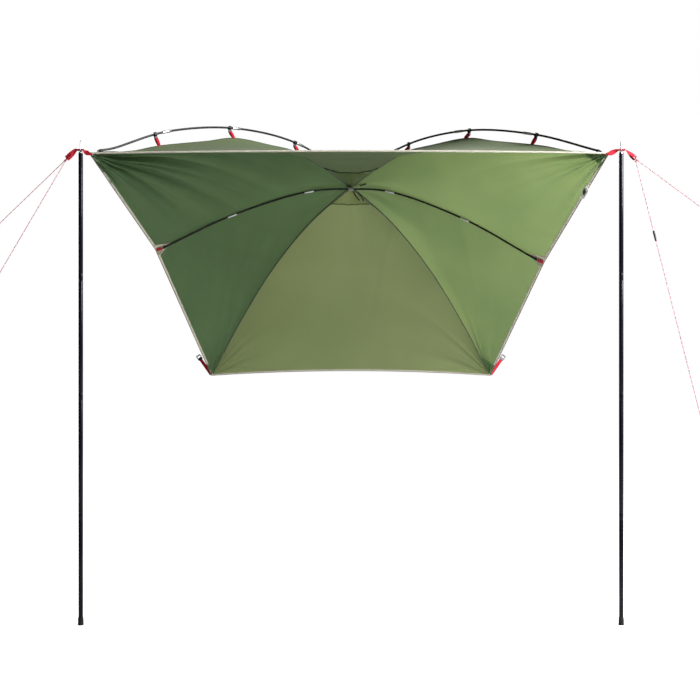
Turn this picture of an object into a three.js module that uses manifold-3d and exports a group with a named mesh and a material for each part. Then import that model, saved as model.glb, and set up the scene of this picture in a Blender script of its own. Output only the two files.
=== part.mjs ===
// A tarp shelter: four cloth panels hung under two crossed poles and stretched over a third, held up in
// front by two plug-together uprights, and tied at its rear corners to whatever it stands against.
// Millimetres, +X right, +Y to the rear, +Z up. The ground is z = 0.
import * as THREE from "three";
import { mergeVertices } from "three/addons/utils/BufferGeometryUtils.js";
import Module from "manifold-3d";

const wasm = await Module();
wasm.setup();

// ---- Driving dimensions ----

// From the plane of the uprights back to the middle of the shelter.
const frontToMiddle = 972.8;

// Canopy outline. A diagonal runs from a front corner through the hub to the opposite rear corner, and
// t says how far along it a point is: 0 at the front corner, 1 at the hub and rearT at the rear corner.
const cornerX = 1078;
const hubY = 1100;
const rearT = 1.738;
const frontEdgeZ = 1990;
const frontEdgeRise = 9;
const rearEdgeZ = 1002;
const rearEdgeRise = 27;
const clothThickness = 3;
const bindingWidth = 14;
const bindingThickness = 4;
const seamGap = 6;
const cornerGap = 0.5;
// How much further out than its pole the cloth reaches at each front corner, and the t where that ends.
const cornerEar = { left: 24, right: 9 };
const earEnd = 0.12;

// Heights of the cloth's ridges and of the diagonal poles above them, as [t, z]. The pole that starts on the
// right bows a little less in front than the one that starts on the left.
const frontRidge = [
  [0, frontEdgeZ], [0.115, 2017], [0.223, 2060], [0.39, 2108], [0.5, 2141],
  [0.64, 2133], [0.757, 2118], [0.88, 2059], [1, 1980],
];
const rearRidge = [[1, 1980], [1.19, 1830], [1.387, 1600], [1.564, 1322], [rearT, rearEdgeZ]];
const frontHeights = {
  left: [[0.022, 2007], [0.06, 2022], [0.242, 2125], [0.505, 2187], [0.774, 2154]],
  right: [[0.031, 2007], [0.06, 2022], [0.242, 2112], [0.505, 2177], [0.774, 2143]],
};
const rearHeights = [[1, 2004], [1.19, 1878], [1.387, 1656], [1.564, 1388], [1.66, 1220], [1.722, 1078]];
const crossingHalfGap = 8;

// The cross pole lies in one leaning plane, and its right end is pulled lower than its left. Its heights
// are [distance from the middle, z], from each end inwards.
const crossHubZ = 1966;
const crossHubY = 1075;
const crossLean = 0.554;
const crossHeights = {
  left: [[911, 1664], [592, 1826], [211, 1953]],
  right: [[897, 1604], [566, 1805], [192, 1953]],
};
const clothOverCross = 12;
const edgeBeyondCross = 58;
// How quickly a side panel's bulge over the cross pole fades towards its front and rear corners.
const bulgeFade = 1.5;

// Poles.
const poleRadius = 4.75;
const ferruleRadius = 6.3;
const ferruleLength = 48;
const segmentLength = 410;
// The segment at each pole's first end is shorter.
const firstSegment = { left: 360, right: 388, cross: 366 };
const poleStep = 105;
const poleSides = 8;
const tipLength = 26;
// How far in front of its ferrule each clip sits.
const clipBeforeFerrule = {
  left: { front: [66, 40, 34], rear: [34, 34, 34] },
  right: { front: [50, 67, 90], rear: [34, 34, 34] },
};
const clipThickness = 14;

// Uprights.
const uprightX = 1140;
const pivotZ = 1989;
const sectionPitch = 505;
const tubeRadius = 9.5;
const tubeWall = 0.8;
const spigotRadius = 8.3;
const spigotLength = 55;
const spikeRadius = 3;
const spikeTop = 2045;
const plugDepth = 34;
const footHeight = 33;
const footRadius = 12.5;
const footFloor = 8;
const fitGap = 0.3;
const turnedSides = 20;
const smallSides = 12;

// Webbing.
const webbingWidth = 24;
const webbingThickness = 2;
const eyeletRadius = 7;
const cornerWebbingZ = 2002;
const guyWebbingZ = 2006;
const guyWebbingReach = new THREE.Vector3(56, -12, -40);
const rearStrapWidth = 18;
const rearStrapLength = 112;
const rearStrapDirection = new THREE.Vector3(0.56, 0.36, 0.74).normalize();

// Guy lines: where each ends, as a run outwards, forwards and down from the end of its webbing.
const lineRadius = 1.5;
const lineRuns = {
  left_guy_line_side: [-290, -102, -316],
  left_guy_line_front: [-228, -330, -560],
  right_guy_line_side: [298, -117, -256],
  right_guy_line_front: [213, -318, -1161],
};
const sliderPlace = 0.28;
const sliderLength = 44;
const sliderRadius = 4.6;

// ---- Finishes ----

const finish = {
  clothDark: { color: 0x4a6741, roughness: 0.85 },
  clothLight: { color: 0x8aa86f, roughness: 0.85 },
  clothRear: { color: 0x7d8c58, roughness: 0.85 },
  binding: { color: 0xc9c0aa, roughness: 0.8 },
  webbing: { color: 0xd8232f, roughness: 0.7 },
  greyWebbing: { color: 0x8a8a86, roughness: 0.7 },
  line: { color: 0xb06a7a, roughness: 0.7 },
  fibreglass: { color: 0x16161a, roughness: 0.35 },
  tube: { color: 0x1b1b24, roughness: 0.3, metalness: 0.8 },
  steel: { color: 0xb4b6b8, roughness: 0.3, metalness: 1 },
  rubber: { color: 0x111111, roughness: 0.85 },
  plastic: { color: 0x18181a, roughness: 0.5 },
  tag: { color: 0xe8e8e4, roughness: 0.7 },
};

const shelter = new THREE.Group();
shelter.position.y = -frontToMiddle;

function add(name, geometry, look) {
  const mesh = new THREE.Mesh(geometry, new THREE.MeshStandardMaterial(look));
  mesh.name = name;
  shelter.add(mesh);
  return mesh;
}

// ---- Geometry helpers ----

function meshOf(points, triangles) {
  const geometry = new THREE.BufferGeometry().setFromPoints(points);
  geometry.setIndex(triangles);
  return geometry;
}

// Joins a closed outline of point indices to the next one like it with a band of quads.
function band(triangles, from, to) {
  from.forEach((a, i) => {
    const b = from[(i + 1) % from.length];
    const c = to[(i + 1) % to.length];
    triangles.push(a, b, c, a, c, to[i]);
  });
}

// A sheet of even thickness whose middle follows a grid of points, grid[i][j].
function sheet(grid, thickness) {
  const rows = grid.length;
  const columns = grid[0].length;
  const within = (index, count) => THREE.MathUtils.clamp(index, 0, count - 1);
  const at = (i, j) => grid[within(i, rows)][within(j, columns)];
  const points = [];
  for (const side of [0.5, -0.5]) {
    for (let i = 0; i < rows; i++) {
      for (let j = 0; j < columns; j++) {
        const along = at(i + 1, j).clone().sub(at(i - 1, j));
        const across = at(i, j + 1).clone().sub(at(i, j - 1));
        const normal = along.cross(across).normalize();
        points.push(at(i, j).clone().addScaledVector(normal, side * thickness));
      }
    }
  }
  const top = (i, j) => i * columns + j;
  const under = rows * columns;
  const triangles = [];
  for (let i = 0; i < rows - 1; i++) {
    for (let j = 0; j < columns - 1; j++) {
      const [a, b, c, d] = [top(i, j), top(i + 1, j), top(i + 1, j + 1), top(i, j + 1)];
      triangles.push(a, b, c, a, c, d);
      triangles.push(a + under, c + under, b + under, a + under, d + under, c + under);
    }
  }
  const rim = [];
  for (let i = 0; i < rows - 1; i++) rim.push(top(i, 0));
  for (let j = 0; j < columns - 1; j++) rim.push(top(rows - 1, j));
  for (let i = rows - 1; i > 0; i--) rim.push(top(i, columns - 1));
  for (let j = columns - 1; j > 0; j--) rim.push(top(0, j));
  band(triangles, rim.map((p) => p + under), rim);
  return meshOf(points, triangles);
}

// A rod of changing radius along a curve that lies in one plane; side is that plane's normal.
// Each station is [distance along the curve, radius].
function rod(curve, side, stations) {
  const length = curve.getLength();
  const points = [];
  const rings = stations.map(([distance, radius]) => {
    const centre = curve.getPointAt(distance / length);
    const up = curve.getTangentAt(distance / length).cross(side).normalize();
    const first = points.length;
    for (let k = 0; k < poleSides; k++) {
      const angle = (2 * Math.PI * k) / poleSides;
      const point = centre.clone().addScaledVector(side, radius * Math.cos(angle));
      points.push(point.addScaledVector(up, radius * Math.sin(angle)));
    }
    return Array.from({ length: poleSides }, (_, k) => first + k);
  });
  const triangles = [];
  rings.slice(1).forEach((ring, i) => band(triangles, rings[i], ring));
  const last = rings[rings.length - 1];
  for (let k = 1; k < poleSides - 1; k++) {
    triangles.push(rings[0][0], rings[0][k + 1], rings[0][k]);
    triangles.push(last[0], last[k], last[k + 1]);
  }
  return meshOf(points, triangles);
}

// A solid turned about Z from a profile of [radius, height] points.
function turned(profile, sides = turnedSides) {
  const lathe = new THREE.LatheGeometry(profile.map(([r, z]) => new THREE.Vector2(r, z)), sides);
  return lathe.rotateX(Math.PI / 2);
}

// A strip of webbing along a path, flat across its side direction.
function strip(path, side, width, thickness) {
  const half = side.clone().multiplyScalar(width / 2);
  return sheet(path.map((p) => [p.clone().sub(half), p.clone().add(half)]), thickness);
}

function solidOf(geometry) {
  const bare = geometry.clone();
  bare.deleteAttribute("normal");
  bare.deleteAttribute("uv");
  const merged = mergeVertices(bare, 1e-3);
  const mesh = new wasm.Mesh({
    numProp: 3,
    vertProperties: merged.attributes.position.array,
    triVerts: new Uint32Array(merged.index.array),
  });
  return new wasm.Manifold(mesh);
}

function cut(body, tool) {
  const mesh = solidOf(body).subtract(solidOf(tool)).getMesh();
  const geometry = new THREE.BufferGeometry();
  geometry.setAttribute("position", new THREE.BufferAttribute(mesh.vertProperties, 3));
  geometry.setIndex(new THREE.BufferAttribute(mesh.triVerts, 1));
  return geometry;
}

// Turns a mesh so that its own X, Y and Z point along three directions at right angles.
function face(mesh, x, y, z) {
  mesh.quaternion.setFromRotationMatrix(new THREE.Matrix4().makeBasis(x, y, z));
}

// Turns a mesh so that its own Z points along a direction.
function aim(mesh, direction) {
  mesh.quaternion.setFromUnitVectors(new THREE.Vector3(0, 0, 1), direction);
}

// ---- Canopy lines that the panels and poles share ----

// A point over a diagonal; hand is -1 on the one that starts at the left front corner.
function onDiagonal(hand, t, z) {
  return new THREE.Vector3(hand * cornerX * (1 - t), hubY * t, z);
}

// A point on the cloth's ridge below the front half of a diagonal.
function onFrontRidge({ name, hand }, t, z) {
  const ear = cornerEar[name] * Math.max(0, 1 - t / earEnd) ** 2;
  return onDiagonal(hand, t, z).add(new THREE.Vector3(hand * ear, 0, 0));
}

function curveThrough(pairs) {
  return new THREE.SplineCurve(pairs.map(([a, b]) => new THREE.Vector2(a, b)));
}

const frontRidgeCurve = curveThrough(frontRidge);
const rearRidgeCurve = curveThrough(rearRidge);

const crossPoint = (x, z) => new THREE.Vector3(x, crossHubY + crossLean * (z - crossHubZ), z);
const crossPlaneNormal = new THREE.Vector3(0, 1, -crossLean).normalize();
const crossPlaneUp = new THREE.Vector3(0, crossLean, 1).normalize();

const sides = [{ name: "left", hand: -1 }, { name: "right", hand: 1 }];

// Half of the cross pole's middle line, from its end inwards, and the way its end points.
function crossHalf({ name, hand }) {
  const points = crossHeights[name].map(([x, z]) => crossPoint(hand * x, z));
  return { points, outwards: points[0].clone().sub(points[1]).normalize() };
}

// The cloth's line over one half of the cross pole, from the side edge up to the hub.
function clothOverPole(side) {
  const { points, outwards } = crossHalf(side);
  const edge = points[0].clone().addScaledVector(outwards, edgeBeyondCross);
  const raised = (point) => point.clone().addScaledVector(crossPlaneUp, clothOverCross);
  const hub = new THREE.Vector3(0, hubY, frontRidge[frontRidge.length - 1][1]);
  return new THREE.CatmullRomCurve3([edge, ...points].map(raised).concat(hub), false, "centripetal");
}

// ---- Canopy panels ----
// A panel is a run of columns. Each one starts out straight from the panel's edge to its ridge, or over the
// cross pole's bulge on a side panel, and then the cloth settles.

// How far an arched edge rises above its ends, at a distance x from its middle.
function edgeRise(rise, x, halfWidth) {
  return rise * (1 - (x / halfWidth) ** 2);
}

function frontColumns(count) {
  const columns = [];
  for (const side of sides) {
    for (let k = 0; k <= count; k++) {
      if (side.hand > 0 && k === 0) continue;
      const { x: t, y: z } = frontRidgeCurve.getPoint(side.hand < 0 ? k / count : 1 - k / count);
      const ridge = onFrontRidge(side, t, z);
      const edgeZ = frontEdgeZ + edgeRise(frontEdgeRise, ridge.x, cornerX);
      columns.push({ edge: new THREE.Vector3(ridge.x, 0, edgeZ), ridge });
    }
  }
  return columns;
}

function rearColumns(count) {
  const rearY = hubY * rearT;
  const rearHalf = cornerX * (rearT - 1);
  const columns = [];
  for (const { hand } of sides) {
    for (let k = 0; k <= count; k++) {
      if (hand > 0 && k === 0) continue;
      const { x: t, y: z } = rearRidgeCurve.getPoint(hand < 0 ? 1 - k / count : k / count);
      const ridge = onDiagonal(-hand, t, z);
      const edgeZ = rearEdgeZ + edgeRise(rearEdgeRise, ridge.x, rearHalf);
      columns.push({ edge: new THREE.Vector3(ridge.x, rearY, edgeZ), ridge });
    }
  }
  return columns;
}

function sideColumns(side, count) {
  const { hand } = side;
  const overPole = clothOverPole(side);
  const tip = overPole.getPoint(0);
  const hub = overPole.getPoint(1);
  const bulgeAt = (w, share) => {
    const chord = tip.clone().lerp(hub, w);
    return overPole.getPointAt(w).sub(chord).multiplyScalar(share);
  };
  const frontCorner = onFrontRidge(side, 0, frontEdgeZ);
  const rearCorner = onDiagonal(-hand, rearT, rearEdgeZ);
  const columns = [];
  for (let k = 0; k <= count; k++) {
    const { x: t, y: z } = frontRidgeCurve.getPoint(k / count);
    const edge = frontCorner.clone().lerp(tip, t);
    columns.push({ edge, ridge: onFrontRidge(side, t, z), bulge: (w) => bulgeAt(w, t ** bulgeFade) });
  }
  for (let k = 1; k <= count; k++) {
    const { x: t, y: z } = rearRidgeCurve.getPoint(k / count);
    const along = (t - 1) / (rearT - 1);
    const edge = tip.clone().lerp(rearCorner, along);
    const share = (1 - along) ** bulgeFade;
    columns.push({ edge, ridge: onDiagonal(-hand, t, z), bulge: (w) => bulgeAt(w, share) });
  }
  return columns;
}

// The point of a column at a distance from its edge.
function alongColumn({ edge, ridge, bulge }, distance) {
  const share = distance / edge.distanceTo(ridge);
  const point = edge.clone().lerp(ridge, share);
  return bulge ? point.add(bulge(THREE.MathUtils.clamp(share, 0, 1))) : point;
}

// Moves a run's end columns in from the canopy's corners, where a column would have no length.
function trimmed(columns, share) {
  const blend = (a, b) => ({
    edge: a.edge.clone().lerp(b.edge, share),
    ridge: a.ridge.clone().lerp(b.ridge, share),
    bulge: b.bulge && ((w) => b.bulge(w).multiplyScalar(share)),
  });
  const last = columns.length - 1;
  const inner = columns.slice(1, last);
  return [blend(columns[0], columns[1]), ...inner, blend(columns[last], columns[last - 1])];
}

// Lets a grid of points settle as stretched cloth does. Its rim and its held columns stay where they are.
function settle(grid, held) {
  for (let pass = 0; pass < settlePasses; pass++) {
    for (let i = 1; i < grid.length - 1; i++) {
      if (held.includes(i)) continue;
      for (let j = 1; j < grid[i].length - 1; j++) {
        const middle = grid[i - 1][j].clone().add(grid[i + 1][j]);
        middle.add(grid[i][j - 1]).add(grid[i][j + 1]);
        grid[i][j].copy(middle).divideScalar(4);
      }
    }
  }
}

const columnCount = 8;
const rows = 8;
const cornerShare = 0.28;
const settlePasses = 120;

function addPanel(name, columns, look, bindingName) {
  const run = trimmed(columns, cornerShare);
  const overPole = run[0].bulge ? [columnCount] : [];
  const clothFrom = bindingWidth + cornerGap;
  const cloth = run.map((column) => {
    const clothTo = column.edge.distanceTo(column.ridge) - seamGap;
    const shares = Array.from({ length: rows + 1 }, (_, j) => j / rows);
    return shares.map((share) => alongColumn(column, clothFrom + (clothTo - clothFrom) * share));
  });
  settle(cloth, overPole);
  const binding = run.map((column) => [0, bindingWidth].map((distance) => alongColumn(column, distance)));
  add(name, sheet(cloth, clothThickness), look);
  add(bindingName, sheet(binding, bindingThickness), finish.binding);
}

addPanel("front_panel", frontColumns(columnCount), finish.clothDark, "front_binding");
addPanel("rear_panel", rearColumns(columnCount), finish.clothRear, "rear_binding");
addPanel("left_panel", sideColumns(sides[0], columnCount), finish.clothDark, "left_binding");
addPanel("right_panel", sideColumns(sides[1], columnCount), finish.clothLight, "right_binding");

// ---- Poles, their tips and their clips ----

// Stations of a pole: a ring every poleStep or so, and a step out and in at each ferrule.
function poleStations(length, first) {
  const stations = [[0, poleRadius]];
  for (let ferrule = first, start = 0; start < length - 1; ferrule += segmentLength) {
    const hasFerrule = ferrule + ferruleLength < length;
    const to = hasFerrule ? ferrule - ferruleLength / 2 : length;
    const steps = Math.ceil((to - start) / poleStep);
    for (let k = 1; k < steps; k++) stations.push([start + ((to - start) * k) / steps, poleRadius]);
    stations.push([to, poleRadius]);
    if (!hasFerrule) break;
    start = to + ferruleLength;
    stations.push([to, ferruleRadius], [start, ferruleRadius], [start, poleRadius]);
  }
  return stations;
}

const tipRadius = poleRadius + 1.2;
const tipNoseRadius = 3;
const tipProfile = [
  [0, 0],
  [tipRadius, 0],
  [tipRadius, tipLength * 0.55],
  [tipNoseRadius, tipLength * 0.7],
  [tipNoseRadius, tipLength - 2],
  [tipNoseRadius / 2, tipLength],
  [0, tipLength],
];

function addTip(name, curve, atEnd) {
  const tip = add(name, turned(tipProfile, smallSides), finish.plastic);
  const outwards = curve.getTangentAt(atEnd ? 1 : 0).multiplyScalar(atEnd ? 1 : -1);
  tip.position.copy(curve.getPointAt(atEnd ? 1 : 0)).addScaledVector(outwards, fitGap);
  aim(tip, outwards);
}

// A hook open on one side, with a flat stem that runs down to the webbing it is sewn to.
const hookInner = poleRadius + 1.7;
const hookOuter = hookInner + 2.8;
const stemHalfWidth = 5;
const stemReach = 22;

function hookShape() {
  const stemAngle = Math.asin(stemHalfWidth / hookOuter);
  const down = 1.5 * Math.PI;
  const mouth = [0.05 * Math.PI, 0.42 * Math.PI];
  const shape = new THREE.Shape();
  shape.moveTo(hookOuter * Math.cos(mouth[1]), hookOuter * Math.sin(mouth[1]));
  shape.absarc(0, 0, hookOuter, mouth[1], down - stemAngle, false);
  shape.lineTo(-stemHalfWidth, -stemReach);
  shape.lineTo(stemHalfWidth, -stemReach);
  shape.absarc(0, 0, hookOuter, down + stemAngle, 2 * Math.PI + mouth[0], false);
  shape.absarc(0, 0, hookInner, 2 * Math.PI + mouth[0], mouth[1], true);
  return shape;
}

function addClip(name, curve, distance) {
  const geometry = new THREE.ExtrudeGeometry(hookShape(), {
    depth: clipThickness,
    curveSegments: 4,
    bevelEnabled: false,
  });
  geometry.translate(0, 0, -clipThickness / 2);
  const clip = add(name, geometry, finish.plastic);
  const share = distance / curve.getLength();
  const along = curve.getTangentAt(share);
  const across = new THREE.Vector3(0, 0, 1).cross(along).normalize();
  clip.position.copy(curve.getPointAt(share));
  face(clip, across, along.clone().cross(across), along);
}

const clipFerrules = { front: [1, 2, 3], rear: [5, 6, 7] };

function addDiagonal({ name, hand }) {
  const points = [...frontHeights[name], ...rearHeights].map(([t, z]) => {
    const lift = t === 1 ? -hand * crossingHalfGap : 0;
    return onDiagonal(hand, t, z + lift);
  });
  const curve = new THREE.CatmullRomCurve3(points, false, "centripetal");
  const across = new THREE.Vector3(-hubY, -hand * cornerX, 0).normalize();
  const stations = poleStations(curve.getLength(), firstSegment[name]);
  add(`${name}_diagonal_pole`, rod(curve, across, stations), finish.fibreglass);
  addTip(`${name}_diagonal_front_tip`, curve, false);
  addTip(`${name}_diagonal_rear_tip`, curve, true);
  for (const [part, ferrules] of Object.entries(clipFerrules)) {
    ferrules.forEach((ferrule, k) => {
      const ferruleAt = firstSegment[name] + (ferrule - 1) * segmentLength;
      const distance = ferruleAt - clipBeforeFerrule[name][part][k];
      addClip(`${name}_diagonal_${part}_clip_${k + 1}`, curve, distance);
    });
  }
}

sides.forEach(addDiagonal);

function addCrossPole() {
  const [left, right] = sides.map((side) => crossHalf(side).points);
  const points = [...left, crossPoint(0, crossHubZ), ...right.reverse()];
  const curve = new THREE.CatmullRomCurve3(points, false, "centripetal");
  const stations = poleStations(curve.getLength(), firstSegment.cross);
  add("cross_pole", rod(curve, crossPlaneNormal, stations), finish.fibreglass);
  addTip("left_cross_tip", curve, false);
  addTip("right_cross_tip", curve, true);
}

addCrossPole();

// A loop of grey webbing round the middle of the cross pole, which ties it up to the hub.
function addHubLoop() {
  const inner = poleRadius + fitGap;
  const outer = inner + webbingThickness;
  const half = webbingWidth / 2;
  const profile = [[inner, -half], [outer, -half], [outer, half], [inner, half], [inner, -half]];
  const loop = add("hub_loop", turned(profile), finish.greyWebbing);
  loop.position.copy(crossPoint(0, crossHubZ));
  aim(loop, new THREE.Vector3(1, 0, 0));
}

addHubLoop();

// ---- Uprights ----

// A tube between two heights, open at both ends, with a spigot on its upper end where one is asked for.
function tubeSection(bottom, top, withSpigot) {
  const bore = tubeRadius - tubeWall;
  const plain = [[bore, bottom], [tubeRadius, bottom], [tubeRadius, top]];
  if (!withSpigot) return turned([...plain, [bore, top], [bore, bottom]]);
  const spigotBore = spigotRadius - tubeWall;
  const shoulder = top - 3;
  const spigotEnd = top + spigotLength;
  const outside = [[spigotRadius, top], [spigotRadius, spigotEnd]];
  const spigot = [...outside, [spigotBore, spigotEnd], [spigotBore, shoulder]];
  return turned([...plain, ...spigot, [bore, shoulder], [bore, bottom]]);
}

const sectionNames = ["bottom", "lower", "upper", "top"];

function addUpright({ name, hand }) {
  sectionNames.forEach((section, k) => {
    const below = sectionNames.length - 1 - k;
    const top = pivotZ - below * sectionPitch - (below > 0 ? fitGap : 0);
    const bottom = k === 0 ? footFloor + fitGap : top - sectionPitch + (below > 0 ? fitGap : 0);
    const tube = add(`${name}_upright_${section}_tube`, tubeSection(bottom, top, below > 0), finish.tube);
    tube.position.x = hand * uprightX;
  });
  const plugBottom = pivotZ - plugDepth;
  const domeBase = pivotZ + fitGap;
  const domeEnd = Math.acos(spikeRadius / tubeRadius);
  const dome = new THREE.Path().absarc(0, domeBase, tubeRadius, 0, domeEnd, false);
  const spike = add(
    `${name}_upright_spike`,
    turned([
      [0, plugBottom],
      [spigotRadius, plugBottom],
      [spigotRadius, domeBase],
      ...dome.getPoints(3).map((p) => [p.x, p.y]),
      [spikeRadius, spikeTop - 8],
      [spikeRadius * 0.4, spikeTop],
      [0, spikeTop],
    ]),
    finish.steel,
  );
  spike.position.x = hand * uprightX;
  const cup = tubeRadius + fitGap;
  const foot = add(
    `${name}_upright_foot`,
    turned([
      [0, 0],
      [footRadius - 3, 0],
      [footRadius - 0.8, 1],
      [footRadius, 4],
      [footRadius - 1.3, footHeight],
      [cup, footHeight],
      [cup, footFloor],
      [0, footFloor],
    ]),
    finish.rubber,
  );
  foot.position.x = hand * uprightX;
}

sides.forEach(addUpright);

// ---- Webbing at the corners ----

const acrossY = new THREE.Vector3(0, 1, 0);

// A hole through a strip of webbing where the spike passes.
function eyelet(x, z) {
  const hole = new THREE.CylinderGeometry(eyeletRadius, eyeletRadius, 12, turnedSides).rotateX(Math.PI / 2);
  return hole.translate(x, 0, z);
}

function addCornerWebbing({ name, hand }) {
  const spikeX = hand * uprightX;
  const clothX = cornerX + cornerEar[name];
  const flat = webbingWidth / 2 + 2;
  const path = [
    new THREE.Vector3(spikeX + hand * flat, 0, cornerWebbingZ),
    new THREE.Vector3(spikeX - hand * flat, 0, cornerWebbingZ),
    new THREE.Vector3(hand * (clothX + 8), 1, frontEdgeZ + 7),
    new THREE.Vector3(hand * (clothX - 6), 2, frontEdgeZ + 3),
  ];
  if (hand > 0) path.reverse();
  const webbing = strip(path, acrossY, webbingWidth, webbingThickness);
  add(`${name}_corner_webbing`, cut(webbing, eyelet(spikeX, cornerWebbingZ)), finish.webbing);
}

// The end of the webbing that the guy lines are tied to.
function guyWebbingEnd(hand) {
  const reach = new THREE.Vector3(hand * guyWebbingReach.x, guyWebbingReach.y, guyWebbingReach.z);
  return new THREE.Vector3(hand * uprightX, 0, guyWebbingZ).add(reach);
}

function addGuyWebbing({ name, hand }) {
  const spikeX = hand * uprightX;
  const flat = webbingWidth / 2 + 2;
  const path = [
    new THREE.Vector3(spikeX - hand * flat, 0, guyWebbingZ),
    new THREE.Vector3(spikeX + hand * (flat + 5), 0, guyWebbingZ),
    guyWebbingEnd(hand),
  ];
  if (hand < 0) path.reverse();
  const webbing = strip(path, acrossY, webbingWidth, webbingThickness);
  add(`${name}_guy_webbing`, cut(webbing, eyelet(spikeX, guyWebbingZ)), finish.webbing);
}

// A tab sewn inside the side edge, which holds one end of the cross pole.
function addCrossTab(side) {
  const { points, outwards } = crossHalf(side);
  const start = points[0].clone().addScaledVector(outwards, tipLength + 2);
  const end = points[0].clone().addScaledVector(outwards, edgeBeyondCross - 6);
  end.addScaledVector(crossPlaneUp, clothOverCross / 2);
  const tab = strip([start, end], crossPlaneNormal, webbingWidth, webbingThickness);
  add(`${side.name}_cross_tab`, tab, finish.webbing);
}

const buckleLength = 33;
const buckleWidth = 26;
const buckleThickness = 6;

function buckleShape() {
  const [w, l, r] = [buckleWidth / 2, buckleLength, 4];
  const shape = new THREE.Shape();
  shape.absarc(w - r, r, r, -Math.PI / 2, 0, false);
  shape.absarc(w - r, l - r, r, 0, Math.PI / 2, false);
  shape.absarc(-w + r, l - r, r, Math.PI / 2, Math.PI, false);
  shape.absarc(-w + r, r, r, Math.PI, 1.5 * Math.PI, false);
  const slot = new THREE.Path();
  const slotHalf = w - 4;
  const [slotLow, slotHigh] = [l - 19, l - 5];
  slot.moveTo(-slotHalf, slotLow);
  slot.lineTo(-slotHalf, slotHigh);
  slot.lineTo(slotHalf, slotHigh);
  slot.lineTo(slotHalf, slotLow);
  shape.holes.push(slot);
  return shape;
}

// A strap that runs up and out from the rear corner, with a buckle at its end. Both lie in one plane.
function addRearStrap({ name, hand }) {
  const along = new THREE.Vector3(hand * rearStrapDirection.x, rearStrapDirection.y, rearStrapDirection.z);
  const forwards = new THREE.Vector3(0, -1, 0);
  const normal = forwards.addScaledVector(along, -forwards.dot(along)).normalize();
  const width = along.clone().cross(normal);
  const corner = onDiagonal(-hand, rearT, rearEdgeZ);
  const start = corner.clone().addScaledVector(along, 6);
  const end = start.clone().addScaledVector(along, rearStrapLength);
  const strap = strip([start, end], width, rearStrapWidth, webbingThickness);
  add(`${name}_rear_strap`, strap, finish.webbing);
  const buckleGeometry = new THREE.ExtrudeGeometry(buckleShape(), {
    depth: buckleThickness,
    curveSegments: 3,
    bevelEnabled: false,
  });
  buckleGeometry.translate(0, 0, -buckleThickness / 2);
  const buckle = add(`${name}_rear_buckle`, buckleGeometry, finish.plastic);
  buckle.position.copy(end).addScaledVector(along, 1);
  face(buckle, width, along, width.clone().cross(along));
}

for (const side of sides) {
  addCornerWebbing(side);
  addGuyWebbing(side);
  addCrossTab(side);
  addRearStrap(side);
}

// ---- Guy lines ----

// A straight taut line, tied to the end of its webbing.
function addGuyLine(name) {
  const hand = name.startsWith("left") ? -1 : 1;
  const run = new THREE.Vector3(...lineRuns[name]);
  const start = guyWebbingEnd(hand).addScaledVector(run.clone().normalize(), 8);
  const path = new THREE.LineCurve3(start, start.clone().add(run));
  const section = new THREE.Shape();
  section.absarc(0, 0, lineRadius, 0, 2 * Math.PI, false);
  const geometry = new THREE.ExtrudeGeometry(section, {
    steps: 12,
    curveSegments: 4,
    bevelEnabled: false,
    extrudePath: path,
  });
  add(name, geometry, finish.line);
  return path;
}

const paths = Object.fromEntries(Object.keys(lineRuns).map((name) => [name, addGuyLine(name)]));

// A slider on the right front line, which shortens or lengthens the line when it is pushed along it.
function addSlider(path) {
  const bore = lineRadius + fitGap;
  const half = sliderLength / 2;
  const profile = [
    [bore, -half],
    [sliderRadius - 1, -half],
    [sliderRadius, -half + 3],
    [sliderRadius, half - 3],
    [sliderRadius - 1, half],
    [bore, half],
    [bore, -half],
  ];
  const slider = add("guy_line_slider", turned(profile, smallSides), finish.plastic);
  slider.position.copy(path.getPoint(sliderPlace));
  aim(slider, path.getTangent(0));
}

addSlider(paths.right_guy_line_front);

// ---- Tag ----

// A blank tag sewn under the inner side of the right binding near the front. It hangs down past the edge.
const tagPlace = 0.265;
const tagLength = 66;
const tagThickness = 1;
const tagSewnAt = new THREE.Vector3(-17, 0, 4);
const tagDrop = new THREE.Vector3(12, 0, -31);

function addTag() {
  const front = onFrontRidge(sides[1], 0, frontEdgeZ);
  const tip = clothOverPole(sides[1]).getPoint(0);
  const along = tip.clone().sub(front).normalize();
  const start = front.lerp(tip, tagPlace).add(tagSewnAt);
  const grid = [0, tagLength].map((distance) => {
    const sewn = start.clone().addScaledVector(along, distance);
    return [sewn, sewn.clone().add(tagDrop)];
  });
  add("blank_tag", sheet(grid, tagThickness), finish.tag);
}

addTag();

export default shelter;
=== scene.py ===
"""A tarp shelter: four cloth panels hung under two crossed poles and stretched over a third, held up in
front by two plug-together uprights. Metres, +X right, +Y to the rear, +Z up. The ground is z = 0."""
import math

import bmesh
import bpy
import numpy as np
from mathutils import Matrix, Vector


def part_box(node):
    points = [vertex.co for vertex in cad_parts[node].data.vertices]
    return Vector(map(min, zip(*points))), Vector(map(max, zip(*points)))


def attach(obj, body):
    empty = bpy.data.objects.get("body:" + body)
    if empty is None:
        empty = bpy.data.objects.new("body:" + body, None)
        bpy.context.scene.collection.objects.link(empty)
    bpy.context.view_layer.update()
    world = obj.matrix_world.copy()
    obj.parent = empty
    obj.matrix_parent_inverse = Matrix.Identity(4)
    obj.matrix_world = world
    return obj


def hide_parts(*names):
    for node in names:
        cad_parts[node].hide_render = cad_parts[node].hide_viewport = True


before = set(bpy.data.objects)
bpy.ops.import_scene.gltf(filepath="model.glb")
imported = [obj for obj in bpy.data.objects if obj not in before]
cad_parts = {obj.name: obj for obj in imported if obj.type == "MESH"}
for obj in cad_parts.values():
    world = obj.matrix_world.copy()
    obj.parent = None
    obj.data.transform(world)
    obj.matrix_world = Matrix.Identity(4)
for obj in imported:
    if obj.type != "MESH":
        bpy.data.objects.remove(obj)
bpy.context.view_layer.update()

# ---- Driving dimensions, as in the part ----

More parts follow.
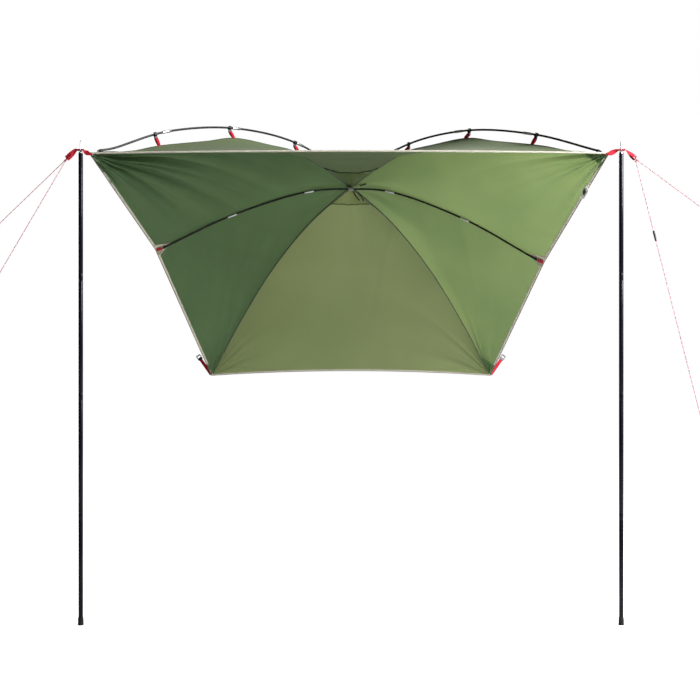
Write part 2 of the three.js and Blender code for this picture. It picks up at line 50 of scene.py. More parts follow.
HANDS = {"left": -1, "right": 1}
CORNER_X = 1.078
HUB_Y = 1.1
REAR_T = 1.738
FRONT_EDGE_Z = 1.990
FRONT_EDGE_RISE = 0.009
REAR_EDGE_Z = 1.002
REAR_EDGE_RISE = 0.027
# How much further out than its pole the cloth reaches at each front corner, and the share where that ends.
CORNER_EAR = {"left": 0.024, "right": 0.009}
EAR_END = 0.12
TAPE_WIDTH = {"front": 0.0075, "rear": 0.010, "left": 0.0095, "right": 0.0095}

# Heights of the cloth's ridges and of the diagonal poles above them, as (share of the way to the hub, z).
FRONT_RIDGE = [
    (0, FRONT_EDGE_Z), (0.115, 2.017), (0.223, 2.060), (0.39, 2.108), (0.5, 2.141),
    (0.64, 2.133), (0.757, 2.118), (0.88, 2.059), (1, 1.980),
]
REAR_RIDGE = [(1, 1.980), (1.19, 1.830), (1.387, 1.600), (1.564, 1.322), (REAR_T, REAR_EDGE_Z)]
FRONT_HEIGHTS = {
    "left": [(0.022, 2.007), (0.06, 2.022), (0.242, 2.125), (0.505, 2.187), (0.774, 2.154)],
    "right": [(0.031, 2.007), (0.06, 2.022), (0.242, 2.112), (0.505, 2.177), (0.774, 2.143)],
}
REAR_HEIGHTS = [(1, 2.004), (1.19, 1.878), (1.387, 1.656), (1.564, 1.388), (1.66, 1.220), (1.722, 1.078)]
CROSSING_HALF_GAP = 0.008

# The cross pole: its leaning plane, and its heights as (distance from the middle, z) from each end inwards.
CROSS_HUB_Z = 1.966
CROSS_HUB_Y = 1.075
CROSS_LEAN = 0.554
CROSS_HEIGHTS = {
    "left": [(0.911, 1.664), (0.592, 1.826), (0.211, 1.953)],
    "right": [(0.897, 1.604), (0.566, 1.805), (0.192, 1.953)],
}
CLOTH_OVER_CROSS = 0.012
EDGE_BEYOND_CROSS = 0.058

POLE_RADIUS = 0.00475
FERRULE_RADIUS = 0.0063
FERRULE_LENGTH = 0.048
SEGMENT_LENGTH = 0.410
FIRST_SEGMENT = {"left": 0.360, "right": 0.388, "cross": 0.366}
TIP_LENGTH = 0.026
TIP_RADIUS = 0.00595
# How far in front of its ferrule each clip sits, and how far nearer the hub its loop is sewn.
CLIP_BEFORE_FERRULE = {
    "left": {"front": (0.066, 0.040, 0.034), "rear": (0.034, 0.034, 0.034)},
    "right": {"front": (0.050, 0.067, 0.090), "rear": (0.034, 0.034, 0.034)},
}
LOOP_LEAN = 0.025
CLIP_WIDTH = 0.014
HOOK_RADIUS = 0.00785
HOOK_THICKNESS = 0.0028
STEM_REACH = 0.022

SECTION_PITCH = 0.505
PIVOT_Z = 1.989
TUBE_RADIUS = 0.0095
TUBE_WALL = 0.0008
SPIGOT_RADIUS = 0.0083
SPIGOT_LENGTH = 0.055
SPIKE_RADIUS = 0.003
SPIKE_TOP = 2.045
FOOT_HEIGHT = 0.033
FOOT_RADIUS = 0.0125
FOOT_FLOOR = 0.008
FIT_GAP = 0.0003

SIDEWAYS = (1, 0, 0)
VERTICAL = (0, 0, 1)

WEBBING_WIDTH = 0.024
WEBBING_THICKNESS = 0.002
CORNER_WEBBING_Z = 2.002
GUY_WEBBING_Z = 2.006
GUY_WEBBING_REACH = (0.056, -0.012, -0.040)
EYELET_RADIUS = 0.007
EYELET_HEIGHT = 0.0032
# How far the flat webbing round an eyelet reaches from the spike, and the fold at a guy strap's end.
EYELET_FLAT = WEBBING_WIDTH / 2 + 0.002
GUY_FOLD_RADIUS = 0.0023
REAR_STRAP_WIDTH = 0.018
REAR_STRAP_LENGTH = 0.112
BUCKLE_ROUNDING = 0.0012
REAR_STRAP_DIRECTION = (0.56, 0.36, 0.74)

LINE_RADIUS = 0.0015
LINE_RUNS = {
    "left_guy_line_side": (-0.290, -0.102, -0.316),
    "left_guy_line_front": (-0.228, -0.330, -0.560),
    "right_guy_line_side": (0.298, -0.117, -0.256),
    "right_guy_line_front": (0.213, -0.318, -1.161),
}
LINE_START = 0.008
# How far down its line the slider sits, as a share of the line.
SLIDER_PLACE = 0.28
SLIDER_LENGTH = 0.044
SLIDER_RADIUS = 0.0046

# The tag: its place along the right edge as a share of the way to the cross pole, its length and its drop.
TAG_PLACE = 0.265
TAG_LENGTH = 0.066
TAG_DROP = (0.012, 0, -0.031)

CAMERA_DISTANCE = 5.4
CAMERA_HEIGHT = 1.2
CAMERA_LENS = 65.83
CAMERA_SENSOR = 36.0
CAMERA_SHIFT = (-0.0014, -0.0134)
# Each light's place, the point it aims at, its diameter in metres and its power in watts.
LIGHTS = {
    "key": ((3.2, -2.2, 2.9), (0.4, -0.2, 1.8), 1.6, 330),
    "back": ((1.2, 2.3, 2.9), (0.3, 0.5, 1.7), 1.2, 27),
    "top": ((1.8, -0.6, 6.6), (0.0, 0.0, 1.7), 1.2, 110),
}

# Places that the frame gives: the plane of the uprights, and how far to the side each one stands.
foot_low, foot_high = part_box("right_upright_foot")
FRONT_Y = (foot_low.y + foot_high.y) / 2
UPRIGHT_X = (foot_low.x + foot_high.x) / 2


# ---- Vectors, curves and routes ----


def unit(vectors):
    vectors = np.asarray(vectors, float)
    return vectors / np.maximum(np.linalg.norm(vectors, axis=-1, keepdims=True), 1e-12)


def place(x, y, z):
    """A point given by its distance right, back from the plane of the uprights, and up."""
    return np.array((x, y + FRONT_Y, z))


def on_diagonal(hand, t, z):
    """A point over a diagonal of the canopy; hand is -1 on the one that starts at the left front corner."""
    return place(hand * CORNER_X * (1 - t), HUB_Y * t, z)


def on_front_ridge(side, t, z):
    """A point on the cloth's ridge below the front half of a diagonal."""
    ear = CORNER_EAR[side] * max(0, 1 - t / EAR_END) ** 2
    return on_diagonal(HANDS[side], t, z) + np.array((HANDS[side] * ear, 0, 0))


def smooth_line(points, even=False, steps=30):
    """Points along the smooth curve through a few: an even one takes no account of their spacing."""
    p = np.array(points, float)
    first = p[0] if even else 2 * p[0] - p[1]
    last = p[-1] if even else 2 * p[-1] - p[-2]
    p = np.vstack([first, p, last])
    line = []
    for a, b, c, d in zip(p, p[1:], p[2:], p[3:]):
        gaps = [1.0 if even else np.linalg.norm(v - u) ** 0.5 for u, v in ((a, b), (b, c), (c, d))]
        before, here, after = gaps
        leave = ((b - a) / before - (c - a) / (before + here) + (c - b) / here) * here
        arrive = ((c - b) / here - (d - b) / (here + after) + (d - c) / after) * here
        for w in np.arange(steps) / steps:
            square = -3 * b + 3 * c - 2 * leave - arrive
            cube = 2 * b - 2 * c + leave + arrive
            line.append(b + leave * w + square * w**2 + cube * w**3)
    line.append(p[-2])
    return np.array(line)


class Route:
    """A line through many points that gives its point and its direction at a distance along it."""

    def __init__(self, points):
        self.points = np.asarray(points, float)
        gaps = np.linalg.norm(np.diff(self.points, axis=0), axis=1)
        self.distances = np.concatenate([[0], np.cumsum(gaps)])
        self.length = self.distances[-1]

    def point(self, distance):
        return np.stack([np.interp(distance, self.distances, axis) for axis in self.points.T], axis=-1)

    def direction(self, distance):
        step = 0.004
        return unit(self.point(distance + step) - self.point(distance - step))

    def part(self, start, end, step):
        count = max(2, int(round((end - start) / step)) + 1)
        return self.point(np.linspace(start, end, count))


def frames(path, side=None):
    """The across and up directions at each point of a path, with no twist or kept level with side."""
    path = np.asarray(path, float)
    ahead = unit(np.gradient(path, axis=0))
    if side is not None:
        side = np.broadcast_to(side, ahead.shape)
        across = unit(side - ahead * (ahead * side).sum(axis=1, keepdims=True))
        return across, np.cross(across, ahead)
    start = np.cross(ahead[0], (0.0, 0.0, 1.0))
    if np.linalg.norm(start) < 0.1:
        start = np.cross(ahead[0], (1.0, 0.0, 0.0))
    across = [unit(start)]
    for direction in ahead[1:]:
        across.append(unit(across[-1] - direction * np.dot(across[-1], direction)))
    return np.array(across), np.cross(across, ahead)


# ---- Meshes ----


def loft(rings, across, closed=False):
    """The mesh that joins equal rings of points. across is the first texture coordinate round a ring."""
    rings = np.asarray(rings, float)
    count, sides = rings.shape[:2]
    centres = rings.mean(axis=1)
    ring_after = np.roll(centres, -1, axis=0)
    along = np.concatenate([[0], np.cumsum(np.linalg.norm(ring_after - centres, axis=1))])
    faces, uvs = [], []
    for i in range(count if closed else count - 1):
        j = (i + 1) % count
        for k in range(sides):
            m = (k + 1) % sides
            faces.append((i * sides + k, i * sides + m, j * sides + m, j * sides + k))
            low, high = along[i], along[i + 1]
            uvs += [(across[k], low), (across[k + 1], low), (across[k + 1], high), (across[k], high)]
    if not closed:
        for first in (0, (count - 1) * sides):
            faces.append(tuple(range(first, first + sides)))
            uvs += [(0.5, 0.0)] * sides
    return rings.reshape(-1, 3), faces, uvs


def circle(centre, radius, angles, across, up):
    """Points on a circle, or on a part of one, whose plane is given by two directions."""
    return centre + radius * (np.cos(angles)[:, None] * across + np.sin(angles)[:, None] * up)


def all_round(count):
    return np.arange(count) * 2 * np.pi / count


def squared(wave):
    """A cosine or sine pushed outwards, which turns a round outline into one with nearly flat sides."""
    return np.sign(wave) * np.abs(wave) ** (1 / 3)


def tube(path, radius, sides=16, closed=False):
    path = np.asarray(path, float)
    radii = np.broadcast_to(radius, (len(path),))
    across, up = frames(path)
    angles = all_round(sides)
    turn = np.cos(angles)[None, :, None] * across[:, None, :] + np.sin(angles)[None, :, None] * up[:, None, :]
    rings = path[:, None, :] + radii[:, None, None] * turn
    return loft(rings, np.linspace(0, 1, sides + 1), closed)


def ribbon(path, side, width, thickness, closed=False, sides=16):
    """Webbing along a path, flat across its side direction, with rounded edges."""
    path = np.asarray(path, float)
    across, up = frames(path, side)
    angles = all_round(sides)
    a = squared(np.cos(angles)) / 2
    b = squared(np.sin(angles)) / 2
    widths = np.broadcast_to(width, (len(path),))[:, None, None]
    rings = path[:, None, :] + widths * a[None, :, None] * across[:, None, :]
    rings = rings + thickness * b[None, :, None] * up[:, None, :]
    return loft(rings, np.append(a, a[0]) + 0.5, closed)


def turned(profile, origin, axis, sides=40, hollow=False):
    """A solid turned about an axis from (radius, height) points; a hollow profile closes on itself."""
    axis = unit(axis)
    start = (1.0, 0.0, 0.0) if abs(axis[0]) < 0.8 else (0.0, 1.0, 0.0)
    across = unit(np.cross(axis, start))
    up = np.cross(axis, across)
    angles = all_round(sides)
    turn = np.outer(np.cos(angles), across) + np.outer(np.sin(angles), up)
    rings = [np.asarray(origin) + axis * height + radius * turn for radius, height in profile]
    return loft(rings, np.linspace(0, 1, sides + 1), hollow)


def joined(*shapes):
    """Several shapes as one mesh."""
    verts, faces, uvs = [], [], []
    for shape_verts, shape_faces, shape_uvs in shapes:
        first = sum(len(part) for part in verts)
        verts.append(shape_verts)
        faces += [tuple(first + index for index in face) for face in shape_faces]
        uvs += shape_uvs
    return np.vstack(verts), faces, uvs


def make(name, shape, material, body, sharp=40):
    """A piece from a shape's points, faces and texture coordinates, riding on a body of the frame."""
    verts, faces, uvs = shape
    mesh = bpy.data.meshes.new(name)
    mesh.from_pydata(np.asarray(verts).tolist(), [], faces)
    layer = mesh.uv_layers.new(name="weave")
    layer.data.foreach_set("uv", np.array(uvs, np.float32).ravel())
    work = bmesh.new()
    work.from_mesh(mesh)
    bmesh.ops.remove_doubles(work, verts=work.verts, dist=2e-6)
    bmesh.ops.dissolve_degenerate(work, edges=work.edges, dist=1e-7)
    bmesh.ops.recalc_face_normals(work, faces=work.faces)
    work.to_mesh(mesh)
    work.free()
    mesh.shade_smooth()
    mesh.set_sharp_from_angle(angle=math.radians(sharp))
    mesh.materials.append(material)
    piece = bpy.data.objects.new(name, mesh)
    bpy.context.scene.collection.objects.link(piece)
    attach(piece, body)
    return piece


def stand_in(piece, node):
    """Hides a node of the frame, so that a piece shows in its place."""
    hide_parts(node)
    return piece


def extra(name, shape, material, body, sharp=40):
    """A piece that the frame has no node for."""
    piece = make(name, shape, look[material], body, sharp)
    return piece


# ---- Material helpers ----


def new_material(name, **sockets):
    material = bpy.data.materials.new(name)
    material.use_nodes = True
    shader = material.node_tree.nodes["Principled BSDF"]
    for socket, value in sockets.items():
        shader.inputs[socket.replace("_", " ")].default_value = value
    return material, material.node_tree, shader


def add_node(tree, kind, inputs=None, **settings):
    node = tree.nodes.new("ShaderNode" + kind)
    for setting, value in settings.items():
        setattr(node, setting, value)
    for socket, value in (inputs or {}).items():
        if isinstance(value, bpy.types.NodeSocket):
            tree.links.new(value, node.inputs[socket])
        else:
            node.inputs[socket].default_value = value
    return node


def maths(tree, operation, a, b=0.0):
    return add_node(tree, "Math", {0: a, 1: b}, operation=operation).outputs[0]


def colour(red, green, blue):
    return (red, green, blue, 1.0)


def darker(tone, share):
    return tuple(share * value for value in tone)


def texture_place(tree):
    """The texture coordinates, and each of the two on its own."""
    uv = add_node(tree, "UVMap", uv_map="weave").outputs["UV"]
    split = add_node(tree, "SeparateXYZ", {0: uv})
    return uv, split.outputs[0], split.outputs[1]


def object_noise(tree, scale, detail=4.0):
    spot = add_node(tree, "TexCoord").outputs["Object"]
    return add_node(tree, "TexNoise", {"Vector": spot, "Scale": scale, "Detail": detail}).outputs["Fac"]


def streaks(tree, stretch, scale, detail):
    """Noise that is drawn out along a piece or round it."""
    uv = texture_place(tree)[0]
    stretched = add_node(tree, "Mapping", {"Vector": uv, "Scale": stretch}).outputs["Vector"]
    return add_node(tree, "TexNoise", {"Vector": stretched, "Scale": scale, "Detail": detail}).outputs["Fac"]


def between(tree, factor, low, high):
    """A colour that goes from low to high as a noise or other factor goes from 0.3 to 0.7."""
    ramp = add_node(tree, "ValToRGB", {"Fac": factor})
    for element, position, tone in zip(ramp.color_ramp.elements, (0.3, 0.7), (low, high)):
        element.position = position
        element.color = colour(*tone)
    return ramp.outputs["Color"]


def spread(tree, factor, low, high):
    inputs = {"Value": factor, "From Min": 0.3, "From Max": 0.7, "To Min": low, "To Max": high}
    return add_node(tree, "MapRange", inputs).outputs["Result"]


def mixed(tree, factor, first, second):
    return add_node(tree, "Mix", {0: factor, 6: first, 7: second}, data_type="RGBA").outputs[2]


def sine(tree, value, waves):
    return maths(tree, "SINE", maths(tree, "MULTIPLY", value, 2 * math.pi * waves))


def from_middle(tree, value):
    """How far a texture coordinate is from 0.5."""
    return maths(tree, "ABSOLUTE", maths(tree, "SUBTRACT", value, 0.5))


def dashes(tree, along, length, gap):
    """1 on dashes that repeat every length, and 0 on the share of it that is a gap."""
    return maths(tree, "GREATER_THAN", maths(tree, "FRACT", maths(tree, "DIVIDE", along, length)), gap)


def coated(tree, shader, tone, grain, low, high):
    """Sets the base colour, and a roughness that varies with noise."""
    tree.links.new(tone, shader.inputs["Base Color"])
    tree.links.new(spread(tree, object_noise(tree, grain), low, high), shader.inputs["Roughness"])


def bumped(tree, shader, height, distance, strength=1.0, normal=None):
    inputs = {"Height": height, "Distance": distance, "Strength": strength}
    if normal is not None:
        inputs["Normal"] = normal
    bump = add_node(tree, "Bump", inputs).outputs["Normal"]
    tree.links.new(bump, shader.inputs["Normal"])
    return bump


def weave_height(tree, vector, pitch):
    """A plain weave: two sets of threads that pass over and under each other."""
    scaled = add_node(tree, "VectorMath", {0: vector, 3: 1.0 / pitch}, operation="SCALE").outputs[0]
    split = add_node(tree, "SeparateXYZ", {0: scaled})
    return maths(tree, "MULTIPLY", sine(tree, split.outputs[0], 1), sine(tree, split.outputs[1], 1))


# ---- Materials ----


def cloth_material(name, low, high, glow, sheen=0.08, lets_through=0.48):
    """Thin coated polyester: a fine weave, soft packing creases, and light that comes through it in the given
    glow colour, which also paints in each panel's light or shade.
    """
    material, tree, shader = new_material(name, Sheen_Weight=sheen, Specular_IOR_Level=0.35)
    uv = texture_place(tree)[0]
    coated(tree, shader, between(tree, object_noise(tree, 2.6, 5.0), low, high), 9.0, 0.52, 0.72)
    creases = add_node(tree, "TexVoronoi", {"Vector": uv, "Scale": 3.1}, feature="DISTANCE_TO_EDGE")
    crease = maths(tree, "MINIMUM", creases.outputs["Distance"], 0.03)
    soft = bumped(tree, shader, maths(tree, "MULTIPLY", crease, 0.35), 0.02, 0.35)
    wavy = bumped(tree, shader, object_noise(tree, 14.0, 3.0), 0.004, 0.4, soft)
    bumped(tree, shader, weave_height(tree, uv, 0.0016), 0.00012, 0.6, wavy)
    glowing = add_node(tree, "BsdfTranslucent", {"Color": between(tree, object_noise(tree, 3.4), *glow)})
    both = add_node(tree, "MixShader", {0: lets_through, 1: shader.outputs[0], 2: glowing.outputs[0]})
    tree.links.new(both.outputs[0], tree.nodes["Material Output"].inputs["Surface"])
    return material


def webbing_material(name, low, high, pitch=0.0016, stitched=True):
    """Woven tape: a ribbed weave, and a row of stitches just inside each edge."""
    material, tree, shader = new_material(name, Specular_IOR_Level=0.2)
    _, across, along = texture_place(tree)
    weave = maths(tree, "MULTIPLY", sine(tree, along, 1 / pitch), sine(tree, across, 11))
    tone = between(tree, maths(tree, "MULTIPLY_ADD", weave, 0.2), low, high)
    worn = between(tree, object_noise(tree, 60.0), low, high)
    shade = mixed(tree, 0.5, worn, tone)
    height = weave
    if stitched:
        from_row = maths(tree, "ABSOLUTE", maths(tree, "SUBTRACT", from_middle(tree, across), 0.36))
        near_row = maths(tree, "LESS_THAN", from_row, 0.03)
        stitch = maths(tree, "MULTIPLY", near_row, dashes(tree, along, 0.0045, 0.35))
        shade = mixed(tree, stitch, shade, colour(*darker(low, 0.45)))
        height = maths(tree, "SUBTRACT", weave, maths(tree, "MULTIPLY", stitch, 1.5))
    coated(tree, shader, shade, 40.0, 0.6, 0.8)
    bumped(tree, shader, height, 0.0003, 0.7)
    return material


def line_material():
    """Braided guy line: pink-red strands with paler flecks that wind round it."""
    material, tree, shader = new_material("guy_line_braid", Specular_IOR_Level=0.2)
    _, across, along = texture_place(tree)
    turns = maths(tree, "MULTIPLY", along, 1 / 0.0085)
    strands = maths(tree, "MULTIPLY", across, 4.0)
    one_way = sine(tree, maths(tree, "ADD", turns, strands), 1)
    other_way = sine(tree, maths(tree, "SUBTRACT", turns, strands), 1)
    braid = maths(tree, "MULTIPLY", one_way, other_way)
    woven = maths(tree, "MULTIPLY_ADD", braid, 0.25)
    base = between(tree, woven, (0.42, 0.075, 0.115), (0.62, 0.19, 0.24))
    shade = mixed(tree, dashes(tree, along, 0.021, 0.72), base, colour(0.70, 0.52, 0.56))
    coated(tree, shader, shade, 80.0, 0.55, 0.75)
    bumped(tree, shader, braid, 0.0004, 0.8)
    return material


def fibreglass_material():
    """Black fibreglass rod: glossy, with fine fibres along it and light scuffs."""
    material, tree, shader = new_material("black_fibreglass", Specular_IOR_Level=0.25)
    fibres = streaks(tree, (26.0, 3.0, 1.0), 4.0, 5.0)
    tone = between(tree, fibres, (0.005, 0.006, 0.005), (0.016, 0.019, 0.017))
    coated(tree, shader, tone, 35.0, 0.22, 0.4)
    bumped(tree, shader, fibres, 0.0002, 0.4)
    return material


def steel_material(name, tone, rough):
    """Bare metal with fine turning marks round it and a little dulling."""
    material, tree, shader = new_material(name, Metallic=1.0)
    marks = streaks(tree, (2.0, 900.0, 1.0), 1.0, 3.0)
    dulled = between(tree, object_noise(tree, 30.0), darker(tone, 0.72), tone)
    tree.links.new(dulled, shader.inputs["Base Color"])
    tree.links.new(spread(tree, marks, rough, rough + 0.16), shader.inputs["Roughness"])
    bumped(tree, shader, marks, 0.0001, 0.4)
    return material


def tube_material():
    """Blue-black powder paint on steel tube: an orange-peel surface under a clear gloss."""
    material, tree, shader = new_material("tube_blue_black", Specular_IOR_Level=0.15)
    tone = between(tree, object_noise(tree, 7.0), (0.004, 0.004, 0.008), (0.009, 0.009, 0.015))
    coated(tree, shader, tone, 22.0, 0.20, 0.30)
    bumped(tree, shader, object_noise(tree, 900.0, 2.0), 0.00006, 0.5)
    return material


def moulded_material(name, low, high, rough, grain):
    """Moulded plastic or rubber: a fine grain and uneven sheen."""
    material, tree, shader = new_material(name, Specular_IOR_Level=0.3)
    coated(tree, shader, between(tree, object_noise(tree, 45.0), low, high), 70.0, rough, rough + 0.15)
    bumped(tree, shader, object_noise(tree, grain, 2.0), 0.00015, 0.5)
    return material


def tag_material():
    """A blank woven tag: a white border round a dark field."""
    material, tree, shader = new_material("blank_tag_weave", Roughness=0.7)
    uv, across, along = texture_place(tree)
    reach = maths(tree, "MAXIMUM", from_middle(tree, across), from_middle(tree, along))
    inside = maths(tree, "LESS_THAN", reach, 0.27)
    pale = between(tree, object_noise(tree, 120.0), (0.66, 0.67, 0.64), (0.82, 0.82, 0.80))
    shade = mixed(tree, inside, pale, colour(0.03, 0.045, 0.035))
    tree.links.new(shade, shader.inputs["Base Color"])
    bumped(tree, shader, weave_height(tree, uv, 0.02), 0.0002, 0.5)
    return material


GREEN = ((0.098, 0.190, 0.078), (0.120, 0.222, 0.092))
KHAKI = ((0.150, 0.205, 0.084), (0.178, 0.235, 0.100))
# The colours of the light that comes through each panel, darkest and palest. They are painted light and
# shade: the same two cloths let through darker colours on the shaded left and front panels and paler ones on
# the lit right and rear panels.
LEFT_GLOW_PAINTED_SHADE = ((0.44, 0.53, 0.30), (0.50, 0.60, 0.35))
RIGHT_GLOW_PAINTED_LIGHT = ((0.60, 0.69, 0.41), (0.67, 0.75, 0.45))
# Painted light: a near-white colour let through the hub patches, so that their doubled cloth shows as bright
# as the panel around it.
PATCH_GLOW_PAINTED_LIGHT = ((0.92, 0.93, 0.86), (0.96, 0.97, 0.90))
FRONT_GLOW_PAINTED_SHADE = ((0.08, 0.15, 0.03), (0.12, 0.19, 0.06))
REAR_GLOW_PAINTED_LIGHT = ((0.80, 0.86, 0.55), (0.88, 0.94, 0.62))
look = {
    # The four panel cloths are painted lit and shaded copies of two fabrics: their let-through colours paint
    # each panel's light or shade.
    "front": cloth_material("cloth_khaki_front_painted_shade", *KHAKI, FRONT_GLOW_PAINTED_SHADE, 0.2),
    "rear": cloth_material("cloth_khaki_rear_painted_light", *KHAKI, REAR_GLOW_PAINTED_LIGHT),
    "left": cloth_material("cloth_green_left_painted_shade", *GREEN, LEFT_GLOW_PAINTED_SHADE),
    "right": cloth_material("cloth_green_right_painted_light", *GREEN, RIGHT_GLOW_PAINTED_LIGHT),
    # The patch cloth lets most light through in a painted near-white colour, which cancels the shade of its
    # second layer.
    "patch": cloth_material("cloth_khaki_patch_painted_light", *KHAKI, PATCH_GLOW_PAINTED_LIGHT, lets_through=0.93),
    "beige": webbing_material("beige_cloth", (0.52, 0.46, 0.35), (0.66, 0.60, 0.48), 0.0012),
    "binding": webbing_material("binding_tape", (0.60, 0.56, 0.46), (0.76, 0.72, 0.62), 0.0014),
    "piping": webbing_material("grey_brown_piping", (0.16, 0.13, 0.10), (0.25, 0.21, 0.17), 0.002, False),
    # Dark tape for the seams, ties and hems; at the seams its near-black colour is also painted shade of the
    # doubled cloth.
    "seam": webbing_material("dark_tape_and_painted_seam_shade", (0.018, 0.032, 0.014), (0.035, 0.055, 0.025), 0.0014),
    "red": webbing_material("red_webbing", (0.36, 0.006, 0.016), (0.52, 0.012, 0.030)),
    "grey": webbing_material("grey_webbing", (0.30, 0.30, 0.29), (0.48, 0.48, 0.46)),
    "line": line_material(),
    "fibreglass": fibreglass_material(),
    "steel": steel_material("bright_steel", (0.62, 0.63, 0.65), 0.2),
    "tube": tube_material(),
    "rubber": moulded_material("foot_rubber", (0.006, 0.006, 0.006), (0.014, 0.014, 0.013), 0.5, 500.0),
    "plastic": moulded_material("black_plastic", (0.008, 0.008, 0.009), (0.018, 0.018, 0.019), 0.32, 900.0),
    "tag": tag_material(),
}


# ---- Camera ----


def add_camera():
    camera = bpy.data.objects.new("camera", bpy.data.cameras.new("camera"))
    bpy.context.scene.collection.objects.link(camera)
    camera.location = (0.0, FRONT_Y - CAMERA_DISTANCE, CAMERA_HEIGHT)
    camera.rotation_euler = (math.radians(90), 0.0, 0.0)
    camera.data.lens = CAMERA_LENS
    camera.data.sensor_width = CAMERA_SENSOR
    camera.data.shift_x, camera.data.shift_y = CAMERA_SHIFT
    bpy.context.scene.camera = camera


# ---- Guy lines ----


def guy_webbing_end(hand):
    x, y, z = GUY_WEBBING_REACH
    return place(hand * (UPRIGHT_X + x), y, GUY_WEBBING_Z + z)


def overhand_knot(centre, along, size, radius):
    """A small knot whose cord crosses itself three times."""
    across, up = frames([centre, centre + along])
    t = all_round(60)
    x = (np.sin(t) + 2 * np.sin(2 * t)) / 3
    y = (np.cos(t) - 2 * np.cos(2 * t)) / 3
    z = -np.sin(3 * t) * 0.45
    path = centre + size * (x[:, None] * across[0] + y[:, None] * up[0] + z[:, None] * along)
    return tube(path, radius, 8, closed=True)


def end_loop(start, along, length, radius):
    """The loop at the end of a line, which goes over a peg."""
    across, _ = frames([start, start + along])
    t = all_round(48)
    forward = length / 2 * (1 - np.cos(t))
    sideways = length / 5 * np.sin(t) * np.sqrt(np.maximum(forward / length, 0.02))
    path = start + forward[:, None] * along + sideways[:, None] * across[0] * 1.4
    return tube(path, radius, 8, closed=True)


def add_guy_line(name, run):
    side = name.split("_")[0]
    hand = HANDS[side]
    run = np.array(run)
    along = unit(run)
    start = guy_webbing_end(hand) + along * LINE_START
    path = start + np.linspace(0, 1, 25)[:, None] * run
    body = f"{side}_guy_rigging"
    line = make(name + "_braid", tube(path, LINE_RADIUS, 12), look["line"], body)
    stand_in(line, name)
    hitch = joined(
        overhand_knot(start + along * 0.004, along, 0.0034, LINE_RADIUS),
        end_loop(start + along * 0.004, -along, 0.024, LINE_RADIUS),
    )
    finish = joined(
        overhand_knot(path[-1], along, 0.0036, LINE_RADIUS),
        end_loop(path[-1], along, 0.050, LINE_RADIUS),
    )
    ends = [
        extra(name + "_hitch", hitch, "line", body),
        extra(name + "_end_loop", finish, "line", body),
    ]
    if name == "right_guy_line_front":
        ends.append(add_slider(start + run * SLIDER_PLACE, along))


def add_slider(centre, along):
    """A ribbed plastic runner on the line."""
    bore = LINE_RADIUS + FIT_GAP
    half = SLIDER_LENGTH / 2
    ribs = []
    for k in range(5):
        middle = -0.012 + 0.006 * k
        ribs += [(SLIDER_RADIUS, middle - 0.002), (SLIDER_RADIUS, middle + 0.001)]
        ribs.append((SLIDER_RADIUS - 0.0007, middle + 0.0015))
    profile = [(bore, -half), (SLIDER_RADIUS - 0.0014, -half), (SLIDER_RADIUS - 0.0003, -half + 0.002), *ribs]
    profile += [(SLIDER_RADIUS - 0.0003, half - 0.002), (SLIDER_RADIUS - 0.0014, half), (bore, half)]
    shape = turned(profile, centre, along, 32, hollow=True)
    slider = make("line_runner", shape, look["plastic"], "line_slider")
    return stand_in(slider, "guy_line_slider")


add_camera()
for line_name, line_run in LINE_RUNS.items():
    add_guy_line(line_name, line_run)


# ---- Cloth panels ----
# A panel is a grid of points: columns that run from its edge to its ridge, each with the same rows.

COLUMNS = 80
ROWS = 72
UNDER_CANOPY = place(0, HUB_Y, 1.2)


def ridge_height(ridge):
    line = smooth_line(ridge, even=True)
    return lambda t: np.interp(t, line[:, 0], line[:, 1])


front_height = ridge_height(FRONT_RIDGE)
rear_height = ridge_height(REAR_RIDGE)


def cross_point(x, z):
    return place(x, CROSS_HUB_Y + CROSS_LEAN * (z - CROSS_HUB_Z), z)


CROSS_UP = unit((0.0, CROSS_LEAN, 1.0))
CROSS_NORMAL = unit((0.0, 1.0, -CROSS_LEAN))


def cross_half(side):
    points = np.array([cross_point(HANDS[side] * x, z) for x, z in CROSS_HEIGHTS[side]])
    return points, unit(points[0] - points[1])


def cloth_over_cross(side):
    """The cloth's line over one half of the cross pole, from the side edge up to the hub."""
    points, outwards = cross_half(side)
    edge = points[0] + outwards * EDGE_BEYOND_CROSS
    raised = [point + CROSS_UP * CLOTH_OVER_CROSS for point in (edge, *points)]
    return Route(smooth_line([*raised, place(0, HUB_Y, FRONT_RIDGE[-1][1])]))


def straight_columns(edges, ridges):
    shares = np.linspace(0, 1, ROWS + 1)[None, :, None]
    edges, ridges = np.array(edges)[:, None, :], np.array(ridges)[:, None, :]
    return edges + (ridges - edges) * shares


def arch(rise, x, half_width):
    """How far an arched edge rises above its ends, at a distance x from its middle."""
    return rise * (1 - (x / half_width) ** 2)


def front_grid():
    places = np.linspace(-1, 1, 2 * COLUMNS + 1)
    t = 1 - np.abs(places)
    sides = np.where(places <= 0, "left", "right")
    ridges = [on_front_ridge(side, share, front_height(share)) for side, share in zip(sides, t)]
    rises = [arch(FRONT_EDGE_RISE, ridge[0], CORNER_X) for ridge in ridges]
    edges = [place(ridge[0], 0, FRONT_EDGE_Z + rise) for ridge, rise in zip(ridges, rises)]
    return straight_columns(edges, ridges)


def rear_grid():
    half_width = CORNER_X * (REAR_T - 1)
    t = 1 + (REAR_T - 1) * np.abs(np.linspace(-1, 1, 2 * COLUMNS + 1))
    hands = np.where(np.arange(2 * COLUMNS + 1) <= COLUMNS, 1, -1)
    ridges = [on_diagonal(hand, share, rear_height(share)) for hand, share in zip(hands, t)]
    rise = [arch(REAR_EDGE_RISE, ridge[0], half_width) for ridge in ridges]
    edges = [place(ridge[0], HUB_Y * REAR_T, REAR_EDGE_Z + z) for ridge, z in zip(ridges, rise)]
    return straight_columns(edges, ridges)


